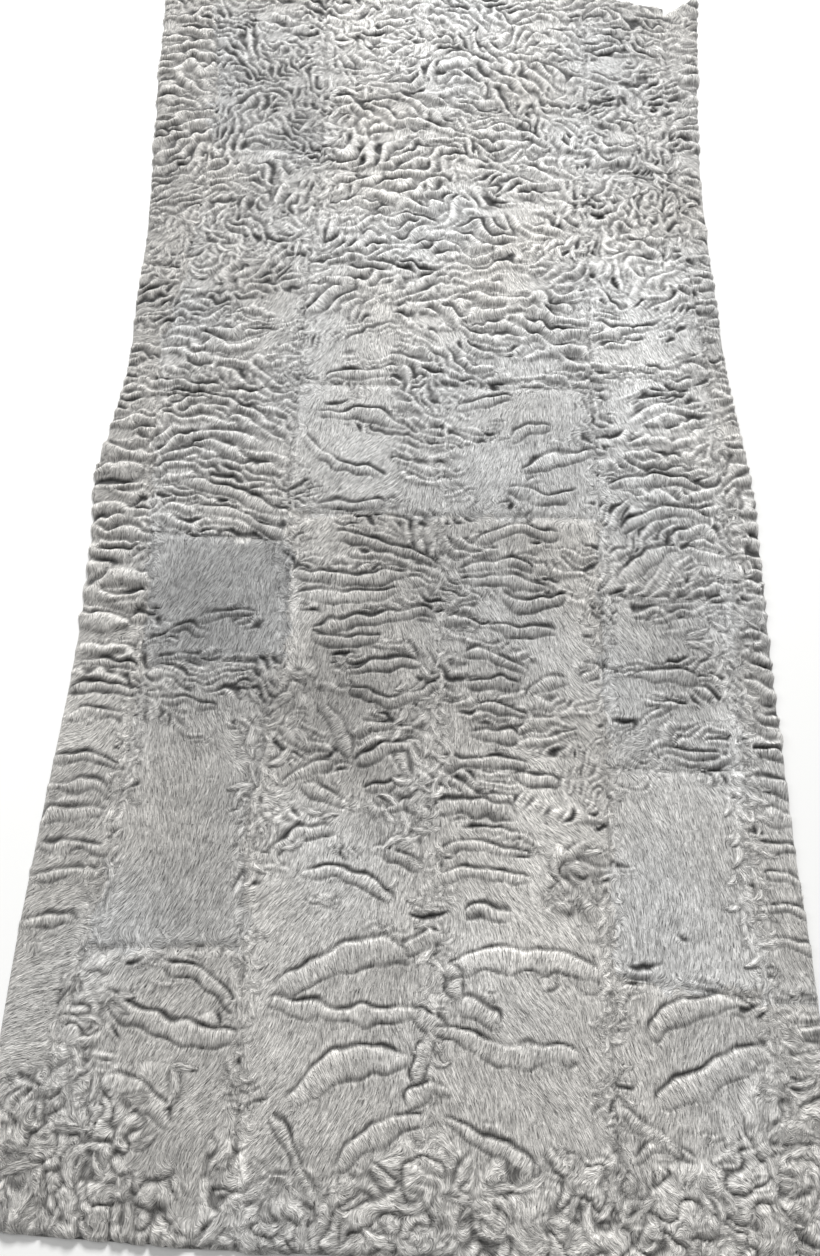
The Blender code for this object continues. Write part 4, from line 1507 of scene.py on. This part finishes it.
def fur_material(name):
    """Curly lamb fur in strokes: grey, warmer or cooler from skin to skin, with painted shade darkening its
    creases.
    """
    material, shader, tree = new_material(name, FUR_SURFACE)

    def value(attribute, output="Fac"):
        """What the mesh says about a point under a name."""
        return node(tree, "ShaderNodeAttribute", {}, attribute_name=attribute).outputs[output]

    hair = value("hair", "Vector")
    side = vector_maths(tree, "CROSS_PRODUCT", {0: hair, 1: (0, 0, 1)})
    both = maths(tree, "ADD", *(strokes(tree, hair, side, stroke) for stroke in STROKES))
    tones = {"Factor": value("warmth"), "A": COOL_TONE, "B": WARM_TONE}
    colour = node(tree, "ShaderNodeMix", tones, data_type="RGBA").outputs["Result"]
    stroke_tone = maths(tree, "ADD", maths(tree, "MULTIPLY", both, STROKE_TONE), 1 - STROKE_TONE)
    # Painted shade: the crease value darkens the colour in the fur's creases and at the shaded feet of
    # curls
    painted_crease_shade = maths(tree, "SUBTRACT", 1.0, maths(tree, "MULTIPLY", value("crease"), CREASE_SHADE))
    light = maths(tree, "MULTIPLY", maths(tree, "MULTIPLY", value("tone"), stroke_tone), painted_crease_shade)
    scaled = vector_maths(tree, "SCALE", {0: colour, "Scale": light})
    tree.links.new(scaled, shader.inputs["Base Color"])
    add_bump(tree, shader, both, STROKE_BUMP)
    return material


def leather_material():
    """The skins' underside: pale suede with a fine nap."""
    material, shader, tree = new_material("leather", {"Roughness": LEATHER_ROUGHNESS})
    inputs = {"Vector": object_place(tree), "Scale": NAP_SCALE, "Detail": 4.0}
    nap = node(tree, "ShaderNodeTexNoise", inputs).outputs["Fac"]
    ramp = node(tree, "ShaderNodeValToRGB", {"Fac": nap})
    for element, (position, tone) in zip(ramp.color_ramp.elements, LEATHER_TONES):
        element.position = position
        element.color = tone
    tree.links.new(ramp.outputs["Color"], shader.inputs["Base Color"])
    add_bump(tree, shader, nap, NAP_BUMP)
    return material


# The floor, the light and the camera


def make_floor():
    """A plain pale floor."""
    material, _, _ = new_material("floor", {"Base Color": FLOOR_TONE, "Roughness": FLOOR_ROUGHNESS})
    corners = np.array([(-1, -1), (1, -1), (1, 1), (-1, 1)])
    points = np.column_stack([FLOOR_HALF * corners, np.full(4, -FLOOR_DEPTH)])
    mesh = new_mesh("floor", points, [np.array([[0, 1, 2, 3]])])
    mesh.materials.append(material)
    floor = add_object("floor", mesh)


def make_studio():
    """Soft light from beyond the far end, a weaker one from the left, and an even pale surrounding."""
    for lamp in LAMPS:
        data = bpy.data.lights.new(lamp.name, "AREA")
        data.shape = "SQUARE"
        data.size = LAMP_SIZE
        data.energy = lamp.power
        made = add_object(lamp.name, data)
        made.location = lamp.place
        made.rotation_euler = (-Vector(lamp.place)).to_track_quat("-Z", "Y").to_euler()
    world = bpy.data.worlds.new("studio")
    world.use_nodes = True
    background = world.node_tree.nodes["Background"]
    background.inputs["Color"].default_value = (1, 1, 1, 1)
    background.inputs["Strength"].default_value = SURROUND_LIGHT
    bpy.context.scene.world = world


def make_camera(middle):
    """The photograph's camera: above the plate's near part, looking steeply down along it."""
    data = bpy.data.cameras.new("camera")
    data.sensor_width = SENSOR
    data.lens = SENSOR * CAMERA_FOCUS / PHOTO_ROWS
    camera = add_object("camera", data)
    camera.location = (CAMERA_X - middle[0], CAMERA_ALONG - middle[1], CAMERA_HEIGHT)
    camera.rotation_euler = (math.radians(90 - CAMERA_DOWN), 0, math.radians(CAMERA_YAW))
    bpy.context.scene.camera = camera


# The plate


def build_plate():
    """Every skin in its place, riding on the plate's body and standing for its solid."""
    plans = [panel_plan(panel) for panel in PANELS]
    middle = plate_middle(plans)
    fur = make_fur()
    light_fur = fur_material("light_grey_lamb_fur")
    grey_fur = fur_material("grey_lamb_fur")
    leather = leather_material()
    for number, (panel, plan) in enumerate(zip(PANELS, plans)):
        grey = panel.name in GREY_SKINS
        skin = build_skin(number, plan, middle, fur, (grey_fur if grey else light_fur, leather))
        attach(skin, "root")
        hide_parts(panel.name)
    return middle


plate_offset = build_plate()
make_floor()
make_studio()
make_camera(plate_offset)
bpy.context.scene.view_settings.view_transform = "Standard"
